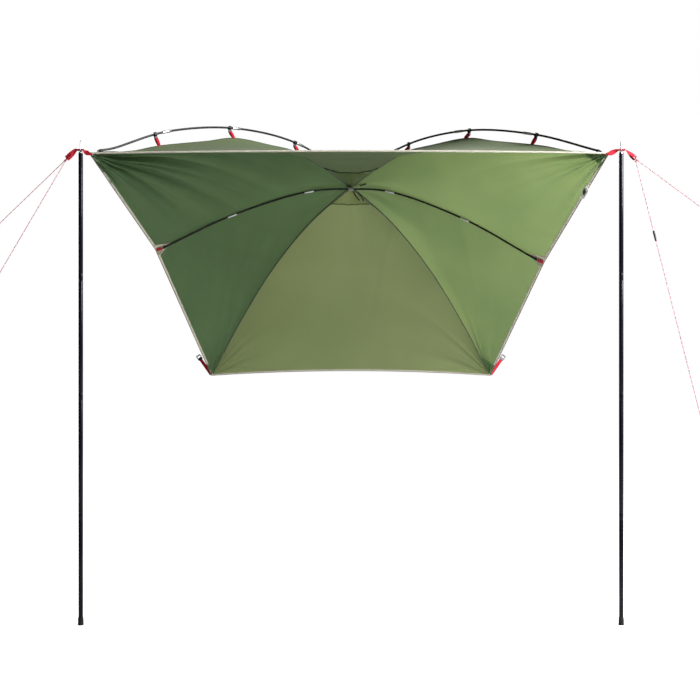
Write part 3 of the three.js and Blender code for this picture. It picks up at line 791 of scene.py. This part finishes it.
def side_grid(side):
    """A side panel, with the cloth over the cross pole as its middle column."""
    hand = HANDS[side]
    over = cloth_over_cross(side)
    tip = over.points[0]
    shares = np.linspace(0, 1, COLUMNS + 1)
    front = on_front_ridge(side, 0, FRONT_EDGE_Z)
    rear = on_diagonal(-hand, REAR_T, REAR_EDGE_Z)
    edges = [front + (tip - front) * w for w in shares] + [tip + (rear - tip) * w for w in shares[1:]]
    ridges = [on_front_ridge(side, w, front_height(w)) for w in shares]
    behind = 1 + (REAR_T - 1) * shares[1:]
    ridges += [on_diagonal(-hand, t, rear_height(t)) for t in behind]
    grid = straight_columns(edges, ridges)
    grid[COLUMNS] = over.point(np.linspace(0, over.length, ROWS + 1))
    return grid


def settled(grid, held=(), passes=5000):
    """The grid as stretched cloth lies: each inner point midway between its neighbours, the rim still."""
    kept = {column: grid[column].copy() for column in held}
    for _ in range(passes):
        around = grid[:-2, 1:-1] + grid[2:, 1:-1] + grid[1:-1, :-2] + grid[1:-1, 2:]
        grid[1:-1, 1:-1] = around / 4
        for column, points in kept.items():
            grid[column] = points
    return grid


def outward_normals(grid):
    """Unit normals of a grid of points that face away from the space under the canopy."""
    along = np.gradient(grid, axis=0)
    across = np.gradient(grid, axis=1)
    normals = unit(np.cross(along, across))
    sizes = np.linalg.norm(np.cross(along, across), axis=-1)
    normals[sizes < 1e-12] = 0
    normals = unit(normals)
    for end, inner in ((0, 1), (-1, -2)):
        if np.ptp(grid[end], axis=0).max() < 1e-6:
            normals[end] = unit(normals[inner].mean(axis=0))
    middle = grid.reshape(-1, 3).mean(axis=0) - UNDER_CANOPY
    return normals * np.sign(np.dot(normals.reshape(-1, 3).mean(axis=0), middle))


def folds(grid, centre, reach, height, waves):
    """Soft radial folds in a grid that fade with distance from a point that the cloth is pulled to."""
    offset = grid - centre
    distance = np.linalg.norm(offset, axis=-1)
    shares = np.linspace(0, 1, grid.shape[1])[None, :]
    window = np.sin(np.pi * shares) ** 0.7
    fade = np.exp(-distance / reach) * np.minimum(distance / 0.14, 1)
    pattern = np.zeros_like(distance)
    for count, phase, part in waves:
        wave = np.abs(np.sin(np.pi * count * shares + phase + 1.1 * distance))
        pattern += part * (1 - 2 * wave**0.8)
    return height * fade * window * pattern


def hub_folds(grid, reach, height, count):
    """Folds that spread from the hub, where four panels are gathered."""
    offset = grid - place(0, HUB_Y, FRONT_RIDGE[-1][1])
    distance = np.linalg.norm(offset, axis=-1)
    angle = np.arctan2(offset[..., 0], offset[..., 1])
    shares = np.linspace(0, 1, grid.shape[1])[None, :]
    window = np.minimum((1 - shares) * 9, 1) * np.minimum(distance / 0.04, 1)
    return height * np.exp(-distance / reach) * window * np.sin(count * angle + 0.8)


def ripples(grid, height):
    """The slight unevenness of cloth under tension."""
    x, y, z = np.moveaxis(grid, -1, 0)
    shares = np.linspace(0, 1, grid.shape[1])[None, :]
    window = np.sin(np.pi * shares)
    wave = np.sin(7.1 * x + 3.3 * y + 1.1) + 0.7 * np.sin(11.7 * y - 4.9 * x + 5.2 * z)
    wave += 0.5 * np.sin(23.0 * x - 9.0 * y + 0.4) * np.sin(6.0 * y)
    return height * window * wave


CORNER_WAVES = [(2.5, 0.3, 0.7), (4.5, 1.7, 1.0), (7.5, 0.9, 0.45)]
REAR_WAVES = [(1.5, 0.9, 1.0), (3.5, 2.1, 0.7), (6.0, 0.2, 0.4)]


def creased(grid, front_folds, rear_folds):
    """The settled grid with its folds at the corners and the hub."""
    normals = outward_normals(grid)
    height = ripples(grid, 0.0020) + hub_folds(grid, 0.18, 0.008, 14)
    for side, hand in HANDS.items():
        height += folds(grid, on_front_ridge(side, 0, FRONT_EDGE_Z), 0.55, front_folds, CORNER_WAVES)
        height += folds(grid, on_diagonal(hand, REAR_T, REAR_EDGE_Z), 0.26, rear_folds, REAR_WAVES)
    return grid + normals * height[..., None]


def pleated(grid, low, high, height, width):
    """A soft fold along the line between two points of the panel, given as (x, z)."""
    x, _, z = np.moveaxis(grid, -1, 0)
    share = (z - low[1]) / (high[1] - low[1])
    away = (x - low[0] - share * (high[0] - low[0])) / width
    fade = np.clip(np.minimum(share + 0.1, 1.1 - share) * 6, 0, 1)
    return grid + outward_normals(grid) * (height * fade * np.exp(-away**2))[..., None]


def thin_sheet(grid, thickness, lift=0.0):
    """A closed sheet whose middle follows a grid, lifted outwards by a distance."""
    normals = outward_normals(grid)
    columns, rows = grid.shape[:2]
    faces_out = grid + normals * (lift + thickness / 2)
    faces_in = grid + normals * (lift - thickness / 2)
    verts = np.vstack([faces_out.reshape(-1, 3), faces_in.reshape(-1, 3)])
    under = columns * rows
    widths = np.linalg.norm(np.diff(grid, axis=0), axis=-1).max(axis=1)
    depths = np.linalg.norm(np.diff(grid, axis=1), axis=-1).max(axis=0)
    u = np.concatenate([[0], np.cumsum(widths)])
    v = np.concatenate([[0], np.cumsum(depths)])
    spots = [(across, down) for across in u for down in v] * 2
    faces = []
    for i in range(columns - 1):
        for j in range(rows - 1):
            a, b, c, d = i * rows + j, (i + 1) * rows + j, (i + 1) * rows + j + 1, i * rows + j + 1
            faces.append((a, b, c, d))
            faces.append((a + under, d + under, c + under, b + under))
    rim = [i * rows for i in range(columns - 1)]
    rim += [(columns - 1) * rows + j for j in range(rows - 1)]
    rim += [i * rows + rows - 1 for i in range(columns - 1, 0, -1)]
    rim += list(range(rows - 1, 0, -1))
    for a, b in zip(rim, rim[1:] + rim[:1]):
        faces.append((b, a, a + under, b + under))
    uvs = [spots[index] for face in faces for index in face]
    return verts, faces, uvs


def strip_of(grid, columns, low, high, rows=12):
    """Part of a panel: for each of some columns, the stretch between two shares of its length."""
    strips = []
    for index, start, end in zip(columns, low, high):
        shares = np.linspace(start, end, rows) * (grid.shape[1] - 1)
        rows_of = np.arange(grid.shape[1])
        strips.append(np.stack([np.interp(shares, rows_of, axis) for axis in grid[index].T], axis=-1))
    return np.array(strips)


CLOTH_THICKNESS = 0.0008
# Patches and seam tape lie this far out from the cloth, so a negative lift is on its underside.
PATCH_LIFT = -0.0016
panels = {
    "front": creased(settled(front_grid()), 0.0025, 0.0),
    "rear": pleated(creased(settled(rear_grid()), 0.0, 0.010), (0.08, 1.12), (0.232, 1.84), 0.005, 0.016),
    "left": creased(settled(side_grid("left"), [COLUMNS]), 0.026, 0.010),
    "right": creased(settled(side_grid("right"), [COLUMNS]), 0.009, 0.010),
}


def add_panel(name):
    shape = thin_sheet(panels[name], CLOTH_THICKNESS)
    cloth = make(f"{name}_cloth", shape, look[name], "canopy", sharp=75)
    stand_in(cloth, f"{name}_panel")


def add_binding(name):
    """Pale tape folded over the panel's edge, with a darker piping along the outside but in front."""
    grid = panels[name]
    edge = grid[:, 0]
    width = TAPE_WIDTH[name]
    inner_row = 2 + np.argmax(np.linalg.norm(grid[:, 2:] - grid[:, :1], axis=-1) > width, axis=1)
    inward = unit(grid[np.arange(len(grid)), inner_row] - edge)
    for end, inner in ((0, 3), (-1, -4)):
        inward[end] = inward[inner]
        inward[end + (1 if end == 0 else -1)] = inward[inner]
    if name == "front":
        inward = np.broadcast_to(unit((0.0, 0.35, -1.0)), inward.shape)
        edge = edge + np.array((0.0, 0.0, 0.005))
    path = edge + inward * (width / 2)
    tape = make(f"{name}_edge_tape", ribbon(path, inward, width, 0.0032), look["binding"], "canopy")
    stand_in(tape, f"{name}_binding")
    if name == "front":
        return
    piping = tube(edge - inward * 0.0012, 0.0021, 8)
    extra(f"{name}_edge_piping", piping, "piping", "canopy")


for panel_name in panels:
    add_panel(panel_name)
    add_binding(panel_name)


# ---- Seams and patches ----


def add_ridge(name, inside_grid, outside_grid, columns_a, columns_b):
    """A seam: tape whose near-black colour is partly painted shade of the doubled cloth, a pale line inside
    it that is painted light through the seam allowance, and a raised lapped seam on the ridge.
    """
    ridge = inside_grid[columns_a, -1]
    reach = 0.0065
    a = ridge + unit(inside_grid[columns_a, -3] - ridge) * reach
    b = ridge + unit(outside_grid[columns_b, -3] - ridge) * reach
    grid = np.stack([a, (a + ridge) / 2, ridge, (b + ridge) / 2, b], axis=1)
    tape = thin_sheet(grid, CLOTH_THICKNESS, lift=PATCH_LIFT)
    # A pale grey line just inside the tape: painted light, for the light that comes through the seam
    # allowance.
    painted_light_line = tube(a - unit(a - UNDER_CANOPY) * 0.003, 0.0011, 6)
    extra(f"{name}_seam_tape", tape, "seam", "canopy", sharp=80)
    extra(f"{name}_lapped_seam", tube(ridge, 0.0019, 8), "seam", "canopy")
    extra(f"{name}_seam_painted_light_line", painted_light_line, "grey", "canopy")


def add_ridges():
    inner = np.arange(2, COLUMNS + 1)
    for side, hand in HANDS.items():
        front_columns = inner if hand < 0 else 2 * COLUMNS - inner
        add_ridge(f"{side}_front", panels["front"], panels[side], front_columns, inner)
        rear_columns = COLUMNS + hand * (COLUMNS - inner)
        add_ridge(f"{side}_rear", panels["rear"], panels[side], rear_columns, 2 * COLUMNS - inner)


def add_patch(name, grid, material):
    extra(name, thin_sheet(grid, CLOTH_THICKNESS, lift=PATCH_LIFT), material, "canopy", sharp=75)


def hub_patch(panel, reach, bow):
    """The part of the front or rear panel within reach of the hub; its edge bows out by bow in the middle."""
    grid = panels[panel]
    rows = np.linspace(0, 1, grid.shape[1])
    towards_hub = 1 if panel == "front" else -1
    hub_y = HUB_Y + FRONT_Y
    half_width = CORNER_X / HUB_Y * reach
    columns = np.flatnonzero(towards_hub * (grid[:, -1, 1] - hub_y) > -reach)
    starts = []
    for i in columns:
        bowed = reach + bow * (1 - min(abs(grid[i, -1, 0]) / half_width, 1) ** 2)
        starts.append(np.interp(towards_hub * hub_y - bowed, towards_hub * grid[i, :, 1], rows))
    return strip_of(grid, columns, starts, np.ones(len(columns)))


def add_hem(name, line):
    """The turned and stitched edge of a patch."""
    away = unit(line - UNDER_CANOPY)
    extra(name, tube(line - away * 0.0026, 0.0024, 8), "seam", "canopy")


def add_patches():
    for panel, reach, bow in (("front", 0.138, 0.045), ("rear", 0.108, -0.022)):
        grid = hub_patch(panel, reach, bow)
        add_patch(f"hub_patch_{panel}", grid, "patch")
        add_hem(f"hub_patch_{panel}_hem", grid[:, 0])
    for side in HANDS:
        grid = panels[side]
        add_patch(f"{side}_front_corner_patch", grid[:8], side)
        add_patch(f"{side}_rear_corner_patch", grid[-9:], side)
        half = 4
        columns = np.arange(COLUMNS - half, COLUMNS + half + 1)
        reach = 0.075 * (1 - np.abs(columns - COLUMNS) / half)
        patch = strip_of(grid, columns, np.zeros(len(columns)), np.maximum(reach, 0.002))
        add_patch(f"{side}_cross_patch", patch, "beige")


add_ridges()
add_patches()


# ---- Poles ----


def ferrule_places(length, first):
    places = []
    distance = first
    while distance + FERRULE_LENGTH < length:
        places.append(distance)
        distance += SEGMENT_LENGTH
    return places


def add_ferrule(name, route, distance):
    """A steel sleeve over a joint between two segments, rolled in a little at each end."""
    half = FERRULE_LENGTH / 2
    stations = [-half, -half + 0.001, -half + 0.003, 0.0, half - 0.003, half - 0.001, half]
    radii = [POLE_RADIUS, FERRULE_RADIUS - 0.0005, FERRULE_RADIUS, FERRULE_RADIUS, FERRULE_RADIUS]
    radii += [FERRULE_RADIUS - 0.0005, POLE_RADIUS]
    path = route.point(distance + np.array(stations))
    extra(name, tube(path, radii, 24), "steel", "canopy", sharp=30)


TIP_PROFILE = [
    (0.0, 0.0), (TIP_RADIUS, 0.0), (TIP_RADIUS, 0.0125), (TIP_RADIUS - 0.0006, 0.0143),
    (0.0032, 0.0182), (0.003, 0.0235), (0.0022, 0.0253), (0.0, 0.026),
]


def add_pole(name, route, first, tip_names):
    path = route.part(0, route.length, 0.02)
    pole = make(name + "_rod", tube(path, POLE_RADIUS, 20), look["fibreglass"], "canopy")
    stand_in(pole, name)
    for k, distance in enumerate(ferrule_places(route.length, first)):
        add_ferrule(f"{name}_ferrule_{k + 1}", route, distance)
    for tip_name, distance, sign in zip(tip_names, (0, route.length), (-1, 1)):
        inner = abs(distance - 0.006)
        outwards = sign * unit(route.point(max(distance, inner)) - route.point(min(distance, inner)))
        origin = route.point(distance) + outwards * FIT_GAP
        tip = make(tip_name + "_cap", turned(TIP_PROFILE, origin, outwards, 28), look["plastic"], "canopy")
        stand_in(tip, tip_name)


def add_clip(name, route, distance, ridge_point):
    """A plastic hook over the pole, on a loop of red webbing that is sewn to the cloth's ridge."""
    along = route.direction(distance)
    across = unit(np.cross((0, 0, 1), along))
    up = np.cross(along, across)
    centre = route.point(distance)
    angles = np.linspace(0.42, 2.05, 22) * np.pi
    hook = circle(centre, HOOK_RADIUS, angles, across, up)
    stem_top = centre - up * (HOOK_RADIUS + 0.001)
    stem_end = centre - up * STEM_REACH
    shape = joined(
        ribbon(hook, along, CLIP_WIDTH, HOOK_THICKNESS),
        ribbon([stem_top, (stem_top + stem_end) / 2, stem_end], along, CLIP_WIDTH, 0.0085),
    )
    clip = make(name + "_hook", shape, look["plastic"], "canopy")
    stand_in(clip, name)
    top = stem_end + up * 0.006
    low = ridge_point + np.array((0, 0, -0.001))
    loops = []
    for hand in (-1, 1):
        bulge = across * hand * 0.0052
        path = smooth_line([top + bulge, (top + low) / 2 + bulge * 1.1, low + bulge * 0.35], steps=6)
        loops.append(ribbon(path, along, 0.013, 0.0014))
    extra(name + "_loop", joined(*loops), "red", "canopy")


def ridge_below(hand, point):
    """The point on the canopy's ridge under a point of a diagonal pole."""
    t = (point[1] - FRONT_Y) / HUB_Y
    height = front_height(t) if t < 1 else rear_height(t)
    return on_diagonal(hand, t, height)


def add_diagonal(side, hand):
    points = []
    for t, z in FRONT_HEIGHTS[side] + REAR_HEIGHTS:
        lift = -hand * CROSSING_HALF_GAP if t == 1 else 0
        points.append(on_diagonal(hand, t, z + lift))
    route = Route(smooth_line(points))
    name = f"{side}_diagonal"
    first = FIRST_SEGMENT[side]
    add_pole(name + "_pole", route, first, (name + "_front_tip", name + "_rear_tip"))
    for part, ferrules in (("front", (1, 2, 3)), ("rear", (5, 6, 7))):
        for k, ferrule in enumerate(ferrules):
            distance = first + (ferrule - 1) * SEGMENT_LENGTH - CLIP_BEFORE_FERRULE[side][part][k]
            lean = LOOP_LEAN if part == "front" else -LOOP_LEAN
            ridge_point = ridge_below(hand, route.point(distance + lean))
            add_clip(f"{name}_{part}_clip_{k + 1}", route, distance, ridge_point)


def cross_route():
    left, _ = cross_half("left")
    right, _ = cross_half("right")
    return Route(smooth_line([*left, cross_point(0, CROSS_HUB_Z), *right[::-1]]))


for side_name, side_hand in HANDS.items():
    add_diagonal(side_name, side_hand)
cross = cross_route()
add_pole("cross_pole", cross, FIRST_SEGMENT["cross"], ("left_cross_tip", "right_cross_tip"))


# ---- Hub ----


def add_hub():
    """Grey webbing round the cross pole, which ties it to the hub, with two toggles and two tie tapes."""
    centre = cross_point(0, CROSS_HUB_Z)
    radius = POLE_RADIUS + FIT_GAP + WEBBING_THICKNESS / 2
    ring = circle(centre, radius, all_round(32), CROSS_NORMAL, CROSS_UP)
    shape = ribbon(ring, SIDEWAYS, WEBBING_WIDTH, WEBBING_THICKNESS, closed=True)
    stand_in(make("hub_webbing_ring", shape, look["grey"], "canopy"), "hub_loop")
    hub = place(0, HUB_Y, FRONT_RIDGE[-1][1])
    for sign in (-1, 1):
        start = centre + CROSS_NORMAL * sign * 0.007 + CROSS_UP * 0.002
        path = smooth_line([start, (start + hub) / 2 + CROSS_NORMAL * sign * 0.003, hub], steps=6)
        strap = ribbon(path, SIDEWAYS, 0.02, 0.0015)
        extra(f"hub_strap_{sign + 2}", strap, "grey", "canopy")
    tapes = {
        "hub_tie_left": [(0.011, 0, -0.010), (0.024, -0.014, -0.036), (0.043, -0.020, -0.060)],
        "hub_tie_right": [(0.036, 0, -0.016), (0.052, -0.012, -0.040), (0.064, -0.018, -0.062)],
    }
    for name, points in tapes.items():
        path = smooth_line([centre + np.array(point) for point in points], steps=8)
        extra(name, ribbon(path, SIDEWAYS, 0.006, 0.0012), "seam", "canopy")
    toggles = {
        "hub_toggle_large": ((0.062, -0.012, 0.021), (0.9, -0.1, 0.28), 0.036),
        "hub_toggle_small": ((-0.020, -0.010, 0.013), (0.9, 0.1, -0.2), 0.013),
    }
    for name, (offset, axis, length) in toggles.items():
        half = length / 2
        lower = [(0, -half), (0.003, -half + 0.001), (0.0042, -half + 0.004)]
        upper = [(radius, -height) for radius, height in lower[::-1]]
        start = centre + np.array(offset)
        toggle = turned([*lower, (0.0034, 0), *upper], start, axis, 24)
        extra(name, toggle, "plastic", "canopy")
        tie = smooth_line([start, (start + hub) / 2 + np.array((0, -0.004, 0.004)), hub], steps=6)
        extra(name + "_tie", tube(tie, 0.0014, 8), "seam", "canopy")


add_hub()


# ---- Webbing ----


def punch(piece, centre):
    """Cuts the hole for an eyelet through a piece."""
    radius = EYELET_RADIUS - 0.0004
    reach = 0.02
    profile = [(0, -reach), (radius, -reach), (radius, reach), (0, reach)]
    cutter = make("cutter", turned(profile, centre, VERTICAL, 32), look["steel"], "canopy")
    cut = piece.modifiers.new("hole", "BOOLEAN")
    cut.operation = "DIFFERENCE"
    cut.object = cutter
    bpy.context.view_layer.update()
    evaluated = piece.evaluated_get(bpy.context.evaluated_depsgraph_get())
    mesh = bpy.data.meshes.new_from_object(evaluated)
    piece.modifiers.clear()
    piece.data = mesh
    bpy.data.objects.remove(cutter)


def add_eyelet(name, centre, body):
    """A rolled metal ring round the hole that the spike goes through."""
    inner = EYELET_RADIUS - 0.0001
    outer = EYELET_RADIUS + 0.0036
    middle = (inner + outer) / 2
    half = (outer - inner) / 2
    profile = [(middle + half * math.cos(a), EYELET_HEIGHT / 2 * math.sin(a)) for a in all_round(16)]
    extra(name, turned(profile, centre, VERTICAL, 36, hollow=True), "steel", body)


def twisting(path, start, end):
    """Side directions along webbing that lies level at first and then turns its flat side to the front."""
    ahead = unit(np.gradient(path, axis=0))
    level = np.array((0.0, 1.0, 0.0))
    hanging = np.cross(ahead, level)
    shares = np.linspace(0, 1, len(path))
    turn = np.clip((shares - start) / (end - start), 0, 1)[:, None] * math.radians(78)
    return np.cos(turn) * level + np.sin(turn) * hanging


def add_corner_webbing(side, hand):
    spike_x = hand * UPRIGHT_X
    cloth_x = CORNER_X + CORNER_EAR[side]
    points = [
        place(spike_x + hand * EYELET_FLAT, 0, CORNER_WEBBING_Z),
        place(spike_x, 0, CORNER_WEBBING_Z),
        place(spike_x - hand * EYELET_FLAT, 0, CORNER_WEBBING_Z),
        place(hand * (cloth_x + 0.010), -0.005, FRONT_EDGE_Z + 0.001),
        place(hand * (cloth_x - 0.001), -0.006, FRONT_EDGE_Z - 0.003),
        place(hand * (cloth_x - 0.012), -0.005, FRONT_EDGE_Z - 0.005),
    ]
    path = smooth_line(points, steps=8)
    shares = np.linspace(0, 1, len(path))
    width = np.interp(shares, (0.40, 0.60, 0.85, 1), (WEBBING_WIDTH, 0.021, 0.012, 0.005))
    shape = ribbon(path, twisting(path, 0.36, 0.58), width, WEBBING_THICKNESS)
    webbing = make(f"{side}_corner_strap", shape, look["red"], "canopy")
    centre = place(spike_x, 0, CORNER_WEBBING_Z)
    punch(webbing, centre)
    stand_in(webbing, f"{side}_corner_webbing")
    add_eyelet(f"{side}_corner_eyelet", centre, "canopy")


def add_guy_webbing(side, hand):
    spike_x = hand * UPRIGHT_X
    end = guy_webbing_end(hand)
    points = [
        place(spike_x - hand * EYELET_FLAT, 0, GUY_WEBBING_Z),
        place(spike_x, 0, GUY_WEBBING_Z),
        place(spike_x + hand * (EYELET_FLAT + 0.003), 0, GUY_WEBBING_Z - 0.0006),
        end * 0.5 + 0.5 * place(spike_x + hand * (EYELET_FLAT + 0.005), 0, GUY_WEBBING_Z),
        end,
    ]
    path = smooth_line(points, steps=8)
    body = f"{side}_guy_rigging"
    sides = twisting(path, 0.45, 0.85)
    shape = ribbon(path, sides, WEBBING_WIDTH, WEBBING_THICKNESS)
    webbing = make(f"{side}_guy_strap", shape, look["red"], body)
    centre = place(spike_x, 0, GUY_WEBBING_Z)
    punch(webbing, centre)
    stand_in(webbing, f"{side}_guy_webbing")
    add_eyelet(f"{side}_guy_eyelet", centre, body)
    outwards = unit(end - points[2])
    up = unit(np.cross(outwards, (0, 1, 0))) * -hand
    back = end - outwards * 0.004 + up * 2 * GUY_FOLD_RADIUS
    angles = np.linspace(-0.5, 0.5, 9) * np.pi
    fold = circle(end + up * GUY_FOLD_RADIUS, GUY_FOLD_RADIUS, angles, outwards, up)
    sewn = smooth_line([fold[-1], back, back - outwards * 0.022], steps=5)
    shape = ribbon(np.vstack([fold, sewn[1:]]), (0, 1, 0), WEBBING_WIDTH, WEBBING_THICKNESS)
    extra(f"{side}_guy_strap_fold", shape, "red", body)


def add_cross_tab(side):
    points, outwards = cross_half(side)
    start = points[0] + outwards * (TIP_LENGTH + 0.002)
    end = points[0] + outwards * (EDGE_BEYOND_CROSS - 0.006) + CROSS_UP * (CLOTH_OVER_CROSS / 2)
    path = smooth_line([start - outwards * 0.004, start, (start + end) / 2, end], steps=6)
    shape = ribbon(path, CROSS_NORMAL, WEBBING_WIDTH, WEBBING_THICKNESS)
    tab = make(f"{side}_cross_strap", shape, look["red"], "canopy")
    stand_in(tab, f"{side}_cross_tab")


def add_rear_strap(side, hand):
    """The strap at a rear corner; its buckle keeps the frame's own shape, with its edges rounded."""
    x, y, z = REAR_STRAP_DIRECTION
    along = unit((hand * x, y, z))
    forwards = np.array((0.0, -1.0, 0.0))
    normal = unit(forwards - along * np.dot(forwards, along))
    width = np.cross(along, normal)
    start = on_diagonal(-hand, REAR_T, REAR_EDGE_Z) + along * 0.006
    end = start + along * REAR_STRAP_LENGTH
    path = start + np.linspace(0, 1, 16)[:, None] * (end - start)
    body = f"{side}_strap"
    shape = ribbon(path, width, REAR_STRAP_WIDTH, WEBBING_THICKNESS)
    strap = make(f"{side}_rear_webbing", shape, look["red"], body)
    stand_in(strap, f"{side}_rear_strap")
    finish_node(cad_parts[f"{side}_rear_buckle"], look["plastic"], BUCKLE_ROUNDING)


def finish_node(node, material, bevel):
    """Gives a node of the frame its material and rounded edges."""
    node.data.materials.clear()
    node.data.materials.append(material)
    rounding = node.modifiers.new("rounding", "BEVEL")
    rounding.width = bevel
    rounding.segments = 3
    rounding.limit_method = "ANGLE"


def add_tag():
    """A blank tag sewn under the right edge."""
    front = on_front_ridge("right", 0, FRONT_EDGE_Z)
    tip = cloth_over_cross("right").points[0]
    along = unit(tip - front)
    start = front + (tip - front) * TAG_PLACE + np.array((-0.017, 0, 0.004))
    rows = np.linspace(0, 1, 7)
    grid = []
    for share in np.linspace(0, 1, 9):
        sewn = start + along * TAG_LENGTH * share
        bend = 0.003 * np.sin(np.pi * rows) * np.sin(np.pi * share)
        grid.append(sewn + rows[:, None] * TAG_DROP + bend[:, None] * np.array((-1.0, 0, 0)))
    verts, faces, uvs = thin_sheet(np.array(grid), 0.001)
    wide, tall = np.array(uvs).max(axis=0)
    uvs = [(u / wide, v / tall) for u, v in uvs]
    tag = make("right_blank_tag", (verts, faces, uvs), look["tag"], "canopy", sharp=60)
    stand_in(tag, "blank_tag")


# ---- Uprights ----


def add_section(side, hand, k, section):
    """One tube of an upright, its ends rolled in a little, and the bare spigot on its upper end."""
    below = 3 - k
    top = PIVOT_Z - below * SECTION_PITCH - (FIT_GAP if below else 0)
    bottom = FOOT_FLOOR + FIT_GAP if k == 0 else top - SECTION_PITCH + (FIT_GAP if below else 0)
    bore = TUBE_RADIUS - TUBE_WALL
    roll = 0.0006
    profile = [(bore, bottom + roll), (TUBE_RADIUS - roll, bottom), (TUBE_RADIUS, bottom + 0.0015)]
    dimple = top - 0.030
    if below:
        groove = [(-0.002, 0), (-0.0008, 0.0005), (0.0008, 0.0005), (0.002, 0)]
        profile += [(TUBE_RADIUS - depth, dimple + height) for height, depth in groove]
    profile += [(TUBE_RADIUS, top - 0.0015), (TUBE_RADIUS - roll, top), (bore, top - roll)]
    body = f"{side}_upright_{section}"
    origin = place(hand * UPRIGHT_X, 0, 0)
    shape = turned(profile, origin, VERTICAL, 48, hollow=True)
    tube_piece = make(f"{side}_{section}_tube", shape, look["tube"], body, sharp=50)
    stand_in(tube_piece, f"{side}_upright_{section}_tube")
    if below:
        wall = SPIGOT_RADIUS - TUBE_WALL
        end = top + SPIGOT_LENGTH
        spigot = [(wall, top - 0.02), (SPIGOT_RADIUS, top - 0.02), (SPIGOT_RADIUS, end - 0.003)]
        spigot += [(SPIGOT_RADIUS - 0.0005, end), (wall, end)]
        shape = turned(spigot, origin, VERTICAL, 40, hollow=True)
        extra(f"{side}_{section}_spigot", shape, "steel", body)


def add_spike(side, hand):
    """The plug in the top of an upright: a dome with a pointed spike."""
    base = PIVOT_Z + FIT_GAP
    dome = []
    for angle in np.linspace(0, math.acos(SPIKE_RADIUS / TUBE_RADIUS), 9):
        dome.append((TUBE_RADIUS * math.cos(angle), base + TUBE_RADIUS * math.sin(angle)))
    bottom = PIVOT_Z - 0.034
    profile = [(0, bottom), (SPIGOT_RADIUS, bottom), (SPIGOT_RADIUS, base), *dome]
    profile += [(SPIKE_RADIUS, SPIKE_TOP - 0.009), (SPIKE_RADIUS * 0.8, SPIKE_TOP - 0.004)]
    profile += [(SPIKE_RADIUS * 0.35, SPIKE_TOP - 0.0005), (0, SPIKE_TOP)]
    shape = turned(profile, place(hand * UPRIGHT_X, 0, 0), VERTICAL, 40)
    spike = make(f"{side}_spike", shape, look["steel"], f"{side}_upright_top")
    stand_in(spike, f"{side}_upright_spike")


def add_foot(side, hand):
    """A flared rubber foot with a rolled lip and a worn lower edge."""
    cup = TUBE_RADIUS + FIT_GAP
    r = FOOT_RADIUS
    profile = [
        (0, 0), (r - 0.003, 0), (r - 0.0012, 0.0006), (r - 0.0002, 0.002), (r, 0.005),
        (r - 0.0006, 0.010), (r - 0.0006, 0.016), (r - 0.0004, 0.019), (r - 0.0013, FOOT_HEIGHT - 0.004),
        (cup + 0.0009, FOOT_HEIGHT - 0.0006), (cup + 0.0003, FOOT_HEIGHT), (cup, FOOT_HEIGHT - 0.0006),
        (cup, FOOT_FLOOR), (0, FOOT_FLOOR),
    ]
    shape = turned(profile, place(hand * UPRIGHT_X, 0, 0), VERTICAL, 48)
    foot = make(f"{side}_rubber_foot", shape, look["rubber"], f"{side}_upright_bottom", sharp=60)
    stand_in(foot, f"{side}_upright_foot")


for side_name, side_hand in HANDS.items():
    add_corner_webbing(side_name, side_hand)
    add_guy_webbing(side_name, side_hand)
    add_cross_tab(side_name)
    add_rear_strap(side_name, side_hand)
    for place_up, section_name in enumerate(("bottom", "lower", "upper", "top")):
        add_section(side_name, side_hand, place_up, section_name)
    add_spike(side_name, side_hand)
    add_foot(side_name, side_hand)
add_tag()


# ---- Stage and light ----


def add_floor():
    mesh = bpy.data.meshes.new("floor")
    mesh.from_pydata([(-40, -40, 0), (40, -40, 0), (40, 40, 0), (-40, 40, 0)], [], [(0, 1, 2, 3)])
    floor = bpy.data.objects.new("floor", mesh)
    bpy.context.scene.collection.objects.link(floor)
    material, tree, shader = new_material("pale_floor", Roughness=0.9)
    shader.inputs["Base Color"].default_value = colour(0.80, 0.80, 0.80)
    shader.inputs["Emission Color"].default_value = colour(1, 1, 1)
    seen = add_node(tree, "LightPath").outputs["Is Camera Ray"]
    tree.links.new(maths(tree, "MULTIPLY", seen, 0.9), shader.inputs["Emission Strength"])
    mesh.materials.append(material)


def add_area(name, location, target, size, power):
    light = bpy.data.lights.new(name, "AREA")
    light.shape = "DISK"
    light.size = size
    light.energy = power
    lamp = bpy.data.objects.new(name, light)
    bpy.context.scene.collection.objects.link(lamp)
    lamp.location = location
    aim = unit(np.array(target) - np.array(location))
    yaw = math.atan2(aim[1], aim[0]) - math.pi / 2
    lamp.rotation_euler = (math.pi / 2 + math.asin(aim[2]), 0, yaw)


def add_world():
    """White to the eye, and brighter from the upper right than from the upper left."""
    world = bpy.data.worlds.new("studio")
    bpy.context.scene.world = world
    world.use_nodes = True
    tree = world.node_tree
    direction = add_node(tree, "TexCoord").outputs["Generated"]
    split = add_node(tree, "SeparateXYZ", {0: direction})
    inputs = {"Value": split.outputs[0], "From Min": -0.6, "From Max": 0.9, "To Min": 0.04, "To Max": 0.30}
    sideways = add_node(tree, "MapRange", inputs).outputs["Result"]
    seen = add_node(tree, "LightPath").outputs["Is Camera Ray"]
    strength = add_node(tree, "Mix", {0: seen, 2: sideways, 3: 1.0}, data_type="FLOAT").outputs[0]
    background = tree.nodes["Background"]
    background.inputs["Color"].default_value = colour(1, 1, 1)
    tree.links.new(strength, background.inputs["Strength"])


add_floor()
add_world()
for light_name, setting in LIGHTS.items():
    add_area(light_name, *setting)
bpy.context.scene.view_settings.view_transform = "Standard"
